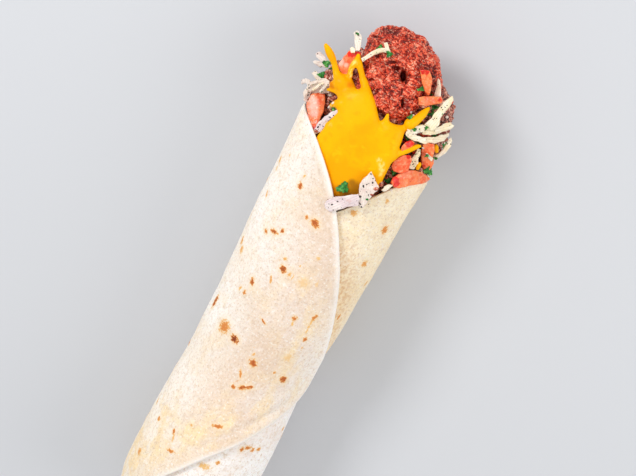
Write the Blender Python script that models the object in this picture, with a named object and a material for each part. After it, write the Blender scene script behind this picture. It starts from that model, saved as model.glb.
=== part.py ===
"""Durum wrap, lying on its side with its mouth towards +X.

A round flatbread is rolled about one and a half times round the filling. Minced meat and salad
run through it, and two charred meat pieces, a pour of cheese sauce, tomato, onion and parsley
stand out at the mouth. The far end is pinched shut. Metres, +Z up, and the origin is on the flat
strip of the underside.
"""

import math
from collections import Counter

import bmesh
import bpy
from mathutils import Matrix, Vector, noise

MM = 0.001
GAP = 0.35 * MM  # between pieces that touch

# The picture's view, from which the small pieces' places are read: looking at VIEW_TARGET from
# VIEW_DISTANCE away, with the roll's mouth towards the picture's top
VIEW_LEAN = math.radians(20)  # from straight above towards the mouth
VIEW_TURN = math.radians(27.7)  # of the roll from the picture's upright
VIEW_DISTANCE = 1100 * MM
VIEW_TARGET = Vector((51.8, -0.3, 29.5)) * MM
VIEW_MIDDLE = (318, 238)  # pixel that shows VIEW_TARGET
PIXEL_SIZE = 0.418 * MM  # what one pixel covers at VIEW_TARGET

# The flatbread sleeve. Angles run from +Y over the top towards -Y.
BREAD_THICKNESS = 1.7 * MM
ROLL_PITCH = 2.1 * MM  # how much further out each turn lies than the one below it
SLEEVE_RADIUS = 25.5 * MM  # to the middle of the innermost turn
SLEEVE_CENTRE_Z = 27.2 * MM
SLEEVE_FOOT = -98 * MM
SLEEVE_MOUTH = 102 * MM
FLAT_SNAP = 0.35 * MM  # the underside is flat where it would lie below this
MOUTH_FLARE = 2.2 * MM
FLARE_START = 58 * MM
WAIST_X = -12 * MM  # the flap is drawn tight round the roll here
WAIST_LENGTH = 26 * MM
WAIST_DEPTH = 1.8 * MM
SWELL_X = 57 * MM  # and the roll is fullest here
SWELL_LENGTH = 20 * MM
SWELL_HEIGHT = 0.9 * MM
SWAY = 0.8 * MM  # the foot half of the roll lies this far towards +Y
SWAY_START = -5 * MM
SWAY_LENGTH = 25 * MM
ROLL_START = math.radians(-380)  # the hidden end of the sheet, inside
HIDDEN_END_START = math.radians(352)  # from here on the sheet stops short of the pinched foot
HIDDEN_END_SPAN = math.radians(22)
FLAP_REACH = math.radians(200)  # the angle that the mouth half of the free edge makes for
FLAP_BELLY_X = -30 * MM
FLAP_BELLY_ROUND = 8 * MM
FLAP_TIP_X = 103 * MM
FLAP_SLOPE = 0.5  # powers that give the free edge its curve from the belly to the mouth
FLAP_HOOK = 0.35
FLAP_BACK_X = -15.2 * MM  # by here the free edge is coming back over the roll towards the foot
FLAP_BACK_ANGLE = math.radians(161.7)
FLAP_BACK_SLOPE = math.radians(2.2) / MM
FLAP_BACK_EASE = math.radians(0.0085) / MM**2
FLAP_ROUNDING = math.radians(8)
RIM_DIP = 27 * MM  # the under turn's rim falls this far into the notch
RIM_DIP_START = math.radians(215)
RIM_DIP_SPAN = math.radians(70)
BACK_RIM_DROP = 5 * MM
PINCH_START = -72 * MM
PINCH_HALF_HEIGHT = 1.6 * MM
PINCH_HALF_WIDTH = 20 * MM
PINCH_DROP = 10 * MM
RIM_SHARE = 0.38  # share of the sheet's length over which the rim's dip fades out
FOOT_SHARE = 0.3
BREAD_COLUMNS = 50
BREAD_ROWS = 27
ROW_CROWDING = 0.7

# The heap of filling at the mouth
HEAP_TOP = 53.5 * MM
HEAP_MIDDLE_Z = 28 * MM
HEAP_CREST_X = 95 * MM
HEAP_REACH = 57 * MM
HEAP_FALL = 17.5 * MM
HEAP_HALF_WIDTH = 30 * MM
HEAP_WIDEST_X = 108 * MM
HEAP_TAPER = 47 * MM
HEAP_FALL_POWER = 2.2
HEAP_TAPER_POWER = 3
HEAP_LEAST_WIDTH = 0.05  # squares of the least shares of its width and height
HEAP_LEAST_BULGE = 0.03
HEAP_SEEK_STEPS = 30
CORE_CLEARANCE = 1.35 * MM  # from the middle of the innermost turn
CORE_COVER = 3 * MM  # depth of the toppings that lie on the core
CORE_DIP_START = 62 * MM
CORE_DIP_LENGTH = 14 * MM
CORE_SWELL_LENGTH = 10 * MM
CORE_SWELL = 2 * MM  # outside the mouth the core is this much wider on each side
CORE_SQUARENESS = 0.8  # and its section this much boxier
CORE_START = -84 * MM
CORE_END = 138 * MM
CORE_UNDERSIDE_RISE = 11 * MM
CORE_UNDERSIDE_ROOM = 0.8 * MM  # for the sheet's hidden end, below the core
CORE_BLUNTNESS = 14  # how square the core's ends are
CORE_LUMP = 0.09
CORE_LUMP_SIZE = 0.25  # of the unit ball that the core is shaped from

MEAT_CRAG = 0.9 * MM
MEAT_CRAG_SIZE = 5.5 * MM
MEAT_SEAT = 1.5 * MM  # room left round a meat piece in what it is pressed into
SAUCE_VOXEL = 0.9 * MM
SAUCE_KEEP = 0.09  # share of the triangles kept after remeshing
SAUCE_THICKNESS = 3.0 * MM
SAUCE_LIFT = 0.5 * MM  # of the poured strokes' middle above the heap
BEADS_EACH = 6  # beads from one point of a stroke to the next
TOMATO_BLUNTNESS = 5
TOMATO_SQUARENESS = 0.6
LEAF_THICKNESS = 0.7 * MM
LEAF_CURL = 0.8 * MM
CURVE_STEP = 0.02  # share of a curve over which its direction is taken
MOST_SWELL = 1.6  # limit on how far a sharp corner moves when a form is swollen


def smooth_step(value):
    value = min(max(value, 0.0), 1.0)
    return value * value * (3 - 2 * value)


def mix(start, end, share):
    return start + (end - start) * share


def make_material(name, colour, roughness, coat=0.0):
    material = bpy.data.materials.new(name)
    material.use_nodes = True
    shader = material.node_tree.nodes["Principled BSDF"]
    shader.inputs["Base Color"].default_value = (*colour, 1)
    shader.inputs["Roughness"].default_value = roughness
    shader.inputs["Coat Weight"].default_value = coat
    return material


def make_object(name, bm, material):
    if bm.calc_volume(signed=True) < 0:
        bmesh.ops.reverse_faces(bm, faces=bm.faces)
    mesh = bpy.data.meshes.new(name)
    bm.to_mesh(mesh)
    bm.free()
    mesh.materials.append(material)
    mesh.shade_smooth()
    obj = bpy.data.objects.new(name, mesh)
    bpy.context.scene.collection.objects.link(obj)
    return obj


def apply_modifiers(obj):
    graph = bpy.context.evaluated_depsgraph_get()
    mesh = bpy.data.meshes.new_from_object(obj.evaluated_get(graph))
    obj.modifiers.clear()
    obj.data = mesh
    mesh.shade_smooth()


# ---------------------------------------------------------------- flatbread


def sleeve_section(x):
    """Half width and half height of the innermost turn at x, and its centre's y and z."""
    flare = MOUTH_FLARE * smooth_step((x - FLARE_START) / (SLEEVE_MOUTH - FLARE_START))
    swell = SWELL_HEIGHT * math.exp(-(((x - SWELL_X) / SWELL_LENGTH) ** 2))
    swell -= WAIST_DEPTH * math.exp(-(((x - WAIST_X) / WAIST_LENGTH) ** 2))
    pinch = min(max((PINCH_START - x) / (PINCH_START - SLEEVE_FOOT), 0.0), 1.0)
    fullness = math.sqrt(1 - pinch**2)
    half_width = mix(PINCH_HALF_WIDTH, SLEEVE_RADIUS + swell, fullness) + flare
    half_height = mix(PINCH_HALF_HEIGHT, SLEEVE_RADIUS + swell, fullness) + flare
    centre_y = SWAY * (1 - smooth_step((x - SWAY_START) / SWAY_LENGTH))
    centre_z = SLEEVE_CENTRE_Z + flare + swell - PINCH_DROP * pinch**2
    return half_width, half_height, centre_y, centre_z


def flap_edge(x):
    """Angle that the sheet's free edge reaches at x."""
    furthest = math.hypot(FLAP_TIP_X - FLAP_BELLY_X, FLAP_BELLY_ROUND) - FLAP_BELLY_ROUND
    away = math.hypot(max(x - FLAP_BELLY_X, 0.0), FLAP_BELLY_ROUND) - FLAP_BELLY_ROUND
    to_mouth = FLAP_REACH * (1 - min(away / furthest, 1.0) ** FLAP_SLOPE) ** FLAP_HOOK
    step = x - FLAP_BACK_X
    to_foot = FLAP_BACK_ANGLE + FLAP_BACK_SLOPE * step + FLAP_BACK_EASE * step**2
    return (to_mouth + to_foot - math.hypot(to_mouth - to_foot, FLAP_ROUNDING)) / 2


def bread_point(across, along):
    """Middle of the sheet at a share across the roll, from its hidden end to its free edge, and
    a share along it from the pinched foot to the mouth."""
    along -= ROW_CROWDING * math.sin(math.tau * along) / math.tau
    x = mix(SLEEVE_FOOT, SLEEVE_MOUTH, along)
    angle = mix(ROLL_START, flap_edge(x), across)
    near_mouth = smooth_step((along - 1 + RIM_SHARE) / RIM_SHARE)
    near_foot = 1 - smooth_step(along / FOOT_SHARE)
    dip = RIM_DIP * smooth_step((-angle - RIM_DIP_START) / RIM_DIP_SPAN)
    back_drop = BACK_RIM_DROP * smooth_step(-angle / math.pi)
    hidden_end = smooth_step((-angle - HIDDEN_END_START) / HIDDEN_END_SPAN)
    x -= (dip + back_drop) * near_mouth
    x += (PINCH_START - SLEEVE_FOOT) * hidden_end * near_foot
    half_width, half_height, centre_y, centre_z = sleeve_section(x)
    offset = ROLL_PITCH * (angle - ROLL_START) / math.tau
    normal = Vector((0, math.cos(angle) * half_height, math.sin(angle) * half_width)).normalized()
    point = Vector((x, math.cos(angle) * half_width, math.sin(angle) * half_height))
    point += Vector((0, centre_y, centre_z)) + normal * offset
    point.z = max(point.z, BREAD_THICKNESS / 2)
    return point


def make_bread(name, material):
    bm = bmesh.new()
    bmesh.ops.create_grid(bm, x_segments=BREAD_COLUMNS, y_segments=BREAD_ROWS, size=0.5)
    for vert in bm.verts:
        vert.co = bread_point(vert.co.x + 0.5, vert.co.y + 0.5)
    obj = make_object(name, bm, material)
    wall = obj.modifiers.new("wall", "SOLIDIFY")
    wall.thickness = BREAD_THICKNESS
    wall.offset = 0
    wall.use_quality_normals = True
    apply_modifiers(obj)
    for vert in obj.data.vertices:
        if vert.co.z < FLAT_SNAP:
            vert.co.z = 0
    return obj


# ---------------------------------------------------------------- shapes of the filling


def heap_height(x, y):
    """Height of the heap's outside at the mouth."""
    crest = HEAP_TOP - HEAP_FALL * max(0.0, (x - HEAP_CREST_X) / HEAP_REACH) ** HEAP_FALL_POWER
    taper = max(0.0, (x - HEAP_WIDEST_X) / HEAP_TAPER) ** HEAP_TAPER_POWER
    half_width = HEAP_HALF_WIDTH * math.sqrt(max(HEAP_LEAST_WIDTH, 1 - taper))
    bulge = math.sqrt(max(HEAP_LEAST_BULGE, 1 - (y / half_width) ** 2))
    return HEAP_MIDDLE_Z + (crest - HEAP_MIDDLE_Z) * bulge


def at_pixel(across, down, height):
    """Point at a height above the table that the picture shows at a pixel."""
    back = Vector((math.sin(VIEW_LEAN), 0, math.cos(VIEW_LEAN)))
    along = Vector((math.cos(VIEW_LEAN), 0, -math.sin(VIEW_LEAN)))
    side = Vector((0, 1, 0))
    right = along * math.sin(VIEW_TURN) - side * math.cos(VIEW_TURN)
    up = along * math.cos(VIEW_TURN) + side * math.sin(VIEW_TURN)
    eye = VIEW_TARGET + back * VIEW_DISTANCE
    step = right * (across - VIEW_MIDDLE[0]) + up * (VIEW_MIDDLE[1] - down)
    ray = step * PIXEL_SIZE - back * VIEW_DISTANCE
    return eye + ray * ((height - eye.z) / ray.z)


def on_heap(across, down, lift):
    """Point this far above the heap that the picture shows at a pixel."""
    point = at_pixel(across, down, HEAP_TOP)
    for _ in range(HEAP_SEEK_STEPS):
        height = (point.z + heap_height(point.x, point.y) + lift) / 2
        point = at_pixel(across, down, height)
    return point


def at_pixels(places):
    return [at_pixel(across, down, height * MM) for across, down, height in places]


def curve_through(points, share):
    """Point at a share along a smooth curve through two or more points."""
    spans = len(points) - 1
    index = min(int(share * spans), spans - 1)
    local = share * spans - index
    here, there = points[index], points[index + 1]
    before = points[index - 1] if index else here * 2 - there
    after = points[index + 2] if index + 2 <= spans else there * 2 - here
    return 0.5 * (
        2 * here
        + (there - before) * local
        + (2 * before - 5 * here + 4 * there - after) * local**2
        + (3 * here - before - 3 * there + after) * local**3
    )


def squared(value, squareness):
    """A sine or cosine made boxier: 1 leaves it round."""
    return math.copysign(abs(value) ** squareness, value)


def make_loft(name, material, points, width, height, *, sides, rings, ends, taper, squareness=1.0, roll=0.0):
    """A closed body along a curve: ends sets how blunt its ends are, squareness how round its
    section is, taper how much it narrows towards its last point, and roll turns the section."""
    bm = bmesh.new()
    bmesh.ops.create_uvsphere(bm, u_segments=sides, v_segments=rings, radius=1)
    for vert in bm.verts:
        share = math.acos(max(-1.0, min(1.0, vert.co.z))) / math.pi
        around = math.atan2(vert.co.y, vert.co.x)
        fullness = max(0.0, 1 - abs(2 * share - 1) ** ends) ** (1 / ends)
        fullness *= 1 - taper * share
        ahead = curve_through(points, min(share + CURVE_STEP, 1))
        behind = curve_through(points, max(share - CURVE_STEP, 0))
        tangent = (ahead - behind).normalized()
        side = tangent.cross(Vector((0, 0, 1))).normalized()
        up = side.cross(tangent)
        across = squared(math.cos(around), squareness) * width / 2 * fullness
        above = squared(math.sin(around), squareness) * height / 2 * fullness
        turned_side = side * math.cos(roll) + up * math.sin(roll)
        turned_up = up * math.cos(roll) - side * math.sin(roll)
        vert.co = curve_through(points, share) + turned_side * across + turned_up * above
    return make_object(name, bm, material)


def make_core(material):
    """Salad and minced meat that fill the sleeve from end to end and swell out of its mouth."""
    bm = bmesh.new()
    bmesh.ops.create_uvsphere(bm, u_segments=18, v_segments=26, radius=1)
    for vert in bm.verts:
        share = math.acos(max(-1.0, min(1.0, vert.co.z))) / math.pi
        around = math.atan2(vert.co.y, vert.co.x)
        x = mix(CORE_START, CORE_END, share)
        half_width, half_height, centre_y, centre_z = sleeve_section(x)
        outside = smooth_step((x - SLEEVE_MOUTH) / CORE_SWELL_LENGTH)
        dipped = smooth_step((x - CORE_DIP_START) / CORE_DIP_LENGTH)
        top = mix(centre_z + half_height - CORE_CLEARANCE, heap_height(x, 0) - CORE_COVER, dipped)
        bottom = centre_z - half_height + CORE_CLEARANCE + CORE_UNDERSIDE_ROOM
        bottom += CORE_UNDERSIDE_RISE * smooth_step((x - SLEEVE_MOUTH) / (CORE_END - SLEEVE_MOUTH))
        half_width += CORE_SWELL * outside - CORE_CLEARANCE
        fullness = math.sqrt(1 - abs(2 * share - 1) ** CORE_BLUNTNESS)
        fullness *= 1 + CORE_LUMP * outside * noise.noise(vert.co / CORE_LUMP_SIZE)
        squareness = mix(1, CORE_SQUARENESS, outside)
        y = centre_y + squared(math.cos(around), squareness) * half_width * fullness
        z = (top + bottom) / 2 + squared(math.sin(around), squareness) * (top - bottom) / 2 * fullness
        vert.co = Vector((x, y, z))
    return make_object("filling", bm, material)


def make_meat(name, material, centre, half_size, turn, seed, crag=MEAT_CRAG, subdivisions=4):
    """A charred piece of minced meat: an egg shape with crags."""
    bm = bmesh.new()
    bmesh.ops.create_icosphere(bm, subdivisions=subdivisions, radius=1)
    spin = Matrix.Rotation(turn, 3, "Z")
    for vert in bm.verts:
        direction = vert.co.copy()
        vert.co = Vector([d * h for d, h in zip(direction, half_size)])
        rough = noise.turbulence(vert.co / MEAT_CRAG_SIZE + Vector((seed, 0, 0)), 3, False)
        vert.co += direction * crag * (2 * rough - 1)
        vert.co = spin @ vert.co + centre
    return make_object(name, bm, material)


def add_beads(bm, points, radii):
    """Overlapping beads along a smooth curve, to be fused into one stroke."""
    radii = [Vector((radius * MM, 0, 0)) for radius in radii]
    count = BEADS_EACH * (len(points) - 1)
    for step in range(count + 1):
        radius = curve_through(radii, step / count).x
        made = bmesh.ops.create_icosphere(bm, subdivisions=2, radius=1)["verts"]
        bmesh.ops.scale(bm, verts=made, vec=(radius, radius, min(radius, SAUCE_THICKNESS)))
        bmesh.ops.translate(bm, verts=made, vec=curve_through(points, step / count))


def make_sauce(material):
    """The pour of cheese sauce: broad strokes over the heap, and splashes that stand out."""
    bm = bmesh.new()
    for stroke in SAUCE_STROKES:
        points = [on_heap(across, down, SAUCE_LIFT) for across, down, _ in stroke]
        add_beads(bm, points, [radius for *_, radius in stroke])
    for splash in SAUCE_SPLASHES:
        points = at_pixels(place[:3] for place in splash)
        add_beads(bm, points, [radius for *_, radius in splash])
    sauce = make_object("cheese_sauce", bm, material)
    fuse = sauce.modifiers.new("fuse", "REMESH")
    fuse.mode = "VOXEL"
    fuse.voxel_size = SAUCE_VOXEL
    relax = sauce.modifiers.new("relax", "SMOOTH")
    relax.factor = 0.5
    relax.iterations = 2
    thin = sauce.modifiers.new("thin", "DECIMATE")
    thin.ratio = SAUCE_KEEP
    apply_modifiers(sauce)
    return sauce


def add_leaf(name, centre, size, tilt, turn, material):
    """One scrap of parsley: a thin wavy three-lobed leaf."""
    bm = bmesh.new()
    bmesh.ops.create_grid(bm, x_segments=3, y_segments=3, size=1)
    for vert in bm.verts:
        x, y = vert.co.x, vert.co.y
        around = math.atan2(y, x)
        lobe = 1 + 0.28 * math.cos(3 * around)
        reach = max(abs(x), abs(y)) * lobe
        flat = Vector((math.cos(around), math.sin(around))) * reach * size / 2
        wave = LEAF_CURL * math.sin(2 * around + turn) * min(reach, 1.0)
        lifted = Vector((flat.x * math.cos(tilt), flat.y, wave + flat.x * math.sin(tilt)))
        spun_x = lifted.x * math.cos(turn) - lifted.y * math.sin(turn)
        spun_y = lifted.x * math.sin(turn) + lifted.y * math.cos(turn)
        vert.co = Vector((spun_x, spun_y, lifted.z)) + centre
    bmesh.ops.triangulate(bm, faces=bm.faces)
    leaf = make_object(name, bm, material)
    wall = leaf.modifiers.new("wall", "SOLIDIFY")
    wall.thickness = LEAF_THICKNESS
    wall.offset = 0
    apply_modifiers(leaf)
    return leaf


def is_closed(mesh):
    sides = Counter(key for face in mesh.polygons for key in face.edge_keys)
    return len(sides) > 0 and all(count == 2 for count in sides.values())


def keep_largest(obj):
    """Drop the loose scraps that a cut leaves."""
    bm = bmesh.new()
    bm.from_mesh(obj.data)
    waiting = set(bm.verts)
    islands = []
    while waiting:
        edge_of_island = [waiting.pop()]
        island = set(edge_of_island)
        while edge_of_island:
            for edge in edge_of_island.pop().link_edges:
                for vert in edge.verts:
                    if vert in waiting:
                        waiting.remove(vert)
                        island.add(vert)
                        edge_of_island.append(vert)
        islands.append(island)
    largest = max(islands, key=len)
    bmesh.ops.delete(bm, geom=[vert for vert in bm.verts if vert not in largest], context="VERTS")
    bm.to_mesh(obj.data)
    bm.free()


def with_group(target, operation, others):
    """Apply one Boolean of the target with all the others, and remove them."""
    group = bpy.data.collections.new(f"{target.name} group")
    bpy.context.scene.collection.children.link(group)
    for other in others:
        bpy.context.scene.collection.objects.unlink(other)
        group.objects.link(other)
    boolean = target.modifiers.new(operation.lower(), "BOOLEAN")
    boolean.operation = operation
    boolean.operand_type = "COLLECTION"
    boolean.collection = group
    graph = bpy.context.evaluated_depsgraph_get()
    if not is_closed(target.evaluated_get(graph).data):
        boolean.solver = "MANIFOLD"
    apply_modifiers(target)
    keep_largest(target)
    for other in others:
        bpy.data.objects.remove(other)
    bpy.data.collections.remove(group)


def swollen(obj, grow):
    """A copy of the object's form, swollen."""
    bm = bmesh.new()
    bm.from_mesh(obj.data)
    bm.normal_update()
    steps = [vert.normal * grow * min(vert.calc_shell_factor(), MOST_SWELL) for vert in bm.verts]
    for vert, step in zip(bm.verts, steps):
        vert.co += step
    return make_object(f"{obj.name} swollen", bm, obj.data.materials[0])


def corners(obj):
    places = [vert.co for vert in obj.data.vertices]
    low = Vector([min(place[axis] for place in places) for axis in range(3)])
    high = Vector([max(place[axis] for place in places) for axis in range(3)])
    return low, high


def boxes_meet(first, second):
    low_a, high_a = corners(first)
    low_b, high_b = corners(second)
    return all(low_a[i] < high_b[i] + GAP and low_b[i] < high_a[i] + GAP for i in range(3))


def clear_each(ordered, seats, bread_cutter):
    """Cut each piece clear of the flatbread and of all the pieces named before it."""
    for index, piece in enumerate(ordered):
        cutters = [
            swollen(seats.get(other.name, other), 0 if other.name in seats else GAP)
            for other in ordered[:index]
            if boxes_meet(piece, other)
        ]
        if piece.name != "filling" and boxes_meet(piece, bread_cutter):
            cutters.append(swollen(bread_cutter, GAP))
        if cutters:
            with_group(piece, "DIFFERENCE", cutters)


# ---------------------------------------------------------------- what lies where

# The strokes of the pour over the heap: pixel across, pixel down, radius in mm
SAUCE_STROKES = (
    ((347, 188, 6), (352, 172, 11), (350, 150, 12.5), (352, 130, 11), (356, 112, 8.4), (354, 98, 8.2),
     (344, 86, 4.2)),
    ((360, 104, 6), (365.5, 90, 2.6), (363.5, 79, 1.5), (361.2, 70, 1.3)),
    ((372, 150, 10), (384, 142, 7.2), (394, 135, 5), (404, 131, 2.8), (413, 125, 2.1), (421, 117.5, 1.9),
     (427, 111, 1.4)),
    ((370, 158, 8), (375, 170, 5), (377, 178, 2.6), (380, 184, 1.4)),
)
# Splashes that stand out of it: pixel across, pixel down, height in mm, radius in mm
SAUCE_SPLASHES = (
    ((344, 88, 46, 2.4), (338.5, 78, 45.5, 1.4), (336, 70, 45, 1.05), (334.6, 63, 45.5, 1.2),
     (331.3, 56, 46.5, 1.6), (328, 49.5, 47, 1.5), (325.8, 44.8, 47, 0.9)),
    ((361.5, 72, 46, 1.4), (360, 66, 45.5, 1.5), (358.8, 60, 45, 1.4), (359, 55.5, 44.5, 1.0)),
    ((358, 60, 45.5, 0.9), (353.5, 66, 46, 0.85), (350.5, 75, 46, 0.85)),
    ((384, 126, 51.5, 2.4), (386.4, 119, 52, 1.2), (387.3, 114.5, 52.2, 0.7)),
    ((390, 153, 51.5, 3), (402, 152, 51.5, 1.6), (412, 148.8, 50.5, 1.2), (420.5, 146, 49, 0.9)),
    ((342, 92, 47, 2.4), (334, 90.5, 46, 1.4), (329.5, 91, 45, 1.0)),
    ((341, 105, 50, 2.4), (335, 105, 49, 1.5), (331.5, 107, 48.5, 1.0)),
)

# The points of these pieces: pixel across, pixel down, height in mm
TOMATOES = {  # points, width, height, taper, roll in degrees
    "tomato_left_wedge": (((316.5, 94, 39.5), (314.5, 112, 43.5), (314.5, 131, 46.5)), 8.2, 6.0, 0.6, -35),
    "tomato_top": (((354, 53.5, 42), (349, 62, 42.5), (343.5, 72, 43)), 7.0, 4.5, 0.15, -20),
    "tomato_right_upper": (((425, 71, 45), (426.5, 84, 45.2), (427.5, 95.5, 44)), 4.4, 3.6, 0.5, 20),
    "tomato_stick": (((418, 101, 46.8), (441.5, 100.5, 43)), 3.7, 3.4, 0.0, 20),
    "tomato_small": (((412, 142.5, 49.5), (403.5, 148.5, 50.5)), 3.6, 3.4, 0.1, 30),
    "tomato_upright": (((428, 145, 44.5), (427, 157, 43), (426.5, 169.5, 41)), 5.6, 5.0, 0.1, 40),
    "tomato_pink": (((404.5, 157.5, 49.3), (399.5, 170.5, 49)), 7.2, 5.0, 0.1, 20),
    "tomato_front_wedge": (((390.5, 181.5, 50), (411, 178, 45.5), (430, 179, 36.5)), 6.2, 5.5, 0.5, 20),
}
ONIONS = {  # points, width, height, taper, bluntness of the ends
    "onion_top": (((357, 51.5, 45), (358.5, 41, 44.5), (356.3, 31.3, 44)), 2.7, 1.5, 0.0, 4),
    "onion_across": (((361, 61.5, 46), (369, 56, 45), (378, 51.5, 45.6), (388.5, 49, 46.1)), 2.4, 1.7, 0.0, 4),
    "onion_left_a": (((318.3, 52.5, 43), (322, 57.5, 43), (328, 65, 43.5)), 2.5, 1.6, 0.0, 4),
    "onion_left_b": (((313.5, 62, 40.5), (320, 63.3, 40.5), (328, 68, 41)), 2.3, 1.6, 0.0, 4),
    "onion_left_c": (((314, 71.8, 42), (319, 77, 42.5), (326.5, 85, 43.5)), 2.4, 1.7, 0.0, 4),
    "onion_left_curl": (
        ((302, 83.2, 40), (303.6, 80.2, 41), (307.5, 79.8, 42), (309.3, 84.5, 42), (307.5, 92, 41.5),
         (305.5, 101, 41)),
        1.9, 1.8, 0.0, 4),
    "onion_left_clump": (((308.5, 89, 42), (317, 84.5, 43.5), (327, 81, 44.5)), 3.6, 2.2, 0.1, 4),
    "onion_left_bed": (((306.5, 97, 39), (314, 92, 40.5), (327, 89.5, 42)), 3.6, 2.4, 0.0, 4),
    "onion_wedge": (((428, 126.5, 46.5), (437, 113.5, 44), (451, 98.5, 41)), 6.2, 2.0, 0.62, 4),
    "onion_tip": (((424, 133.5, 47), (438, 129.7, 44), (453.5, 125.3, 39)), 2.6, 1.8, 0.1, 4),
    "onion_banana": (
        ((406.5, 134, 51), (414, 138, 49.5), (425, 140.5, 47), (437, 139.3, 43), (449.5, 135, 37.5)),
        2.7, 1.9, 0.0, 4),
    "onion_hook": (
        ((451.3, 138.3, 37.5), (447.5, 146.5, 38), (441, 153.3, 38.5), (433.5, 157.8, 39.5)),
        2.1, 1.7, 0.0, 4),
    "onion_right_sliver": (((437.5, 80, 40.5), (438.5, 88, 41), (439, 96.5, 41)), 2.2, 1.5, -0.4, 4),
    "onion_front": (((326.5, 204.5, 59.8), (342, 202, 60), (357, 198.5, 59.6)), 4.4, 1.6, 0.0, 4),
    "onion_diamond": (((371.5, 172.3, 58.5), (369, 190, 58.8), (366.5, 208, 58.2)), 7.4, 1.6, 0.0, 1.5),
    "onion_side": (((337, 112.5, 51.5), (326.5, 119, 51), (316.5, 129, 50)), 2.3, 1.6, 0.0, 4),
    "onion_scrap": (((418, 151.5, 47.5), (416, 158, 47.5), (413.5, 165.5, 47.3)), 2.6, 1.6, 0.0, 4),
}
PARSLEY = {  # what it lies on, point, size, tilt and turn in degrees
    "on_sauce": ("cheese_sauce", (344, 187, 57.2), 5.0, 8, 30),
    "on_onion_left_a": ("onion_left_a", (326.5, 62.5, 44.4), 4.2, 20, 70),
    "on_onion_left_c": ("onion_left_c", (321, 74, 43.6), 3.8, 15, 10),
    "on_onion_side": ("onion_side", (335, 110.5, 52.4), 3.4, 10, 120),
    "on_onion_across": ("onion_across", (389.5, 53, 46.9), 3.6, 10, 200),
    "on_meat_front": ("meat_front", (408.5, 115, 46.8), 3.2, 25, 45),
    "on_onion_wedge": ("onion_wedge", (432, 110, 46.2), 5.4, 15, 150),
    "on_onion_banana": ("onion_banana", (408, 138.5, 51.6), 3.2, 10, 15),
    "on_onion_hook": ("onion_hook", (442.5, 144.5, 39.4), 4.4, 0, 90),
    "on_tomato_upright": ("tomato_upright", (428, 170.5, 42.5), 4.4, -20, 60),
    "on_tomato_pink": ("tomato_pink", (394.5, 170.5, 51), 3.8, 5, 0),
    "on_tomato_right": ("tomato_right_upper", (422.5, 87, 46.2), 4.0, 20, 100),
    "on_tomato_front": ("tomato_front_wedge", (389, 180.5, 52), 3.6, 10, 40),
}

MEATS = {  # centre and half sizes in mm, turn in degrees, place in the noise
    "meat_front": ((124.2, 1.8, 38.0), (14.6, 16.5, 12.8), 20, 3.0),
    "meat_back": ((135.2, 1.5, 33.2), (18.7, 14.5, 15.2), 65, 11.0),
}


def build():
    for obj in list(bpy.data.objects):
        bpy.data.objects.remove(obj)

    bread_look = make_material("flatbread", (0.86, 0.80, 0.70), 0.75)
    filling_look = make_material("minced filling", (0.36, 0.13, 0.08), 0.5, 0.3)
    meat_look = make_material("charred meat", (0.42, 0.10, 0.06), 0.4, 0.4)
    sauce_look = make_material("cheese sauce", (0.95, 0.50, 0.02), 0.25, 0.5)
    tomato_look = make_material("tomato", (0.85, 0.17, 0.08), 0.3, 0.4)
    onion_look = make_material("onion", (0.88, 0.84, 0.74), 0.4, 0.2)
    leaf_look = make_material("parsley", (0.05, 0.25, 0.04), 0.5)

    pieces = {}
    for name, (places, width, height, taper, roll) in TOMATOES.items():
        pieces[name] = make_loft(
            name, tomato_look, at_pixels(places), width * MM, height * MM, sides=8, rings=7, taper=taper,
            ends=TOMATO_BLUNTNESS, squareness=TOMATO_SQUARENESS, roll=math.radians(roll),
        )
    for name, (places, width, height, taper, ends) in ONIONS.items():
        pieces[name] = make_loft(
            name, onion_look, at_pixels(places), width * MM, height * MM, sides=6, rings=2 * len(places) + 2,
            taper=taper, ends=ends,
        )
    seats = {}
    for name, (centre, half_size, turn, seed) in MEATS.items():
        centre = Vector(centre) * MM
        half_size = Vector(half_size) * MM
        room = half_size + Vector((MEAT_SEAT, MEAT_SEAT, MEAT_SEAT))
        turn = math.radians(turn)
        pieces[name] = make_meat(name, meat_look, centre, half_size, turn, seed)
        seats[name] = make_meat(f"{name} seat", meat_look, centre, room, turn, seed, 0, 3)
    pieces["cheese_sauce"] = make_sauce(sauce_look)
    pieces["filling"] = make_core(filling_look)
    make_bread("flatbread", bread_look)

    for name, (carrier, place, size, tilt, turn) in PARSLEY.items():
        leaf = add_leaf(
            f"leaf {name}", *at_pixels([place]), size * MM, math.radians(tilt), math.radians(turn), leaf_look
        )
        with_group(pieces[carrier], "UNION", [leaf])
    bread_cutter = make_bread("bread cutter", bread_look)
    clear_each(list(pieces.values()), seats, bread_cutter)
    for helper in [bread_cutter, *seats.values()]:
        bpy.data.objects.remove(helper)


build()
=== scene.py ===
import math
import random

import bmesh
import bpy
import numpy as np
from mathutils import Matrix, Vector, geometry, noise
from mathutils.bvhtree import BVHTree
from mathutils.kdtree import KDTree


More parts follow.
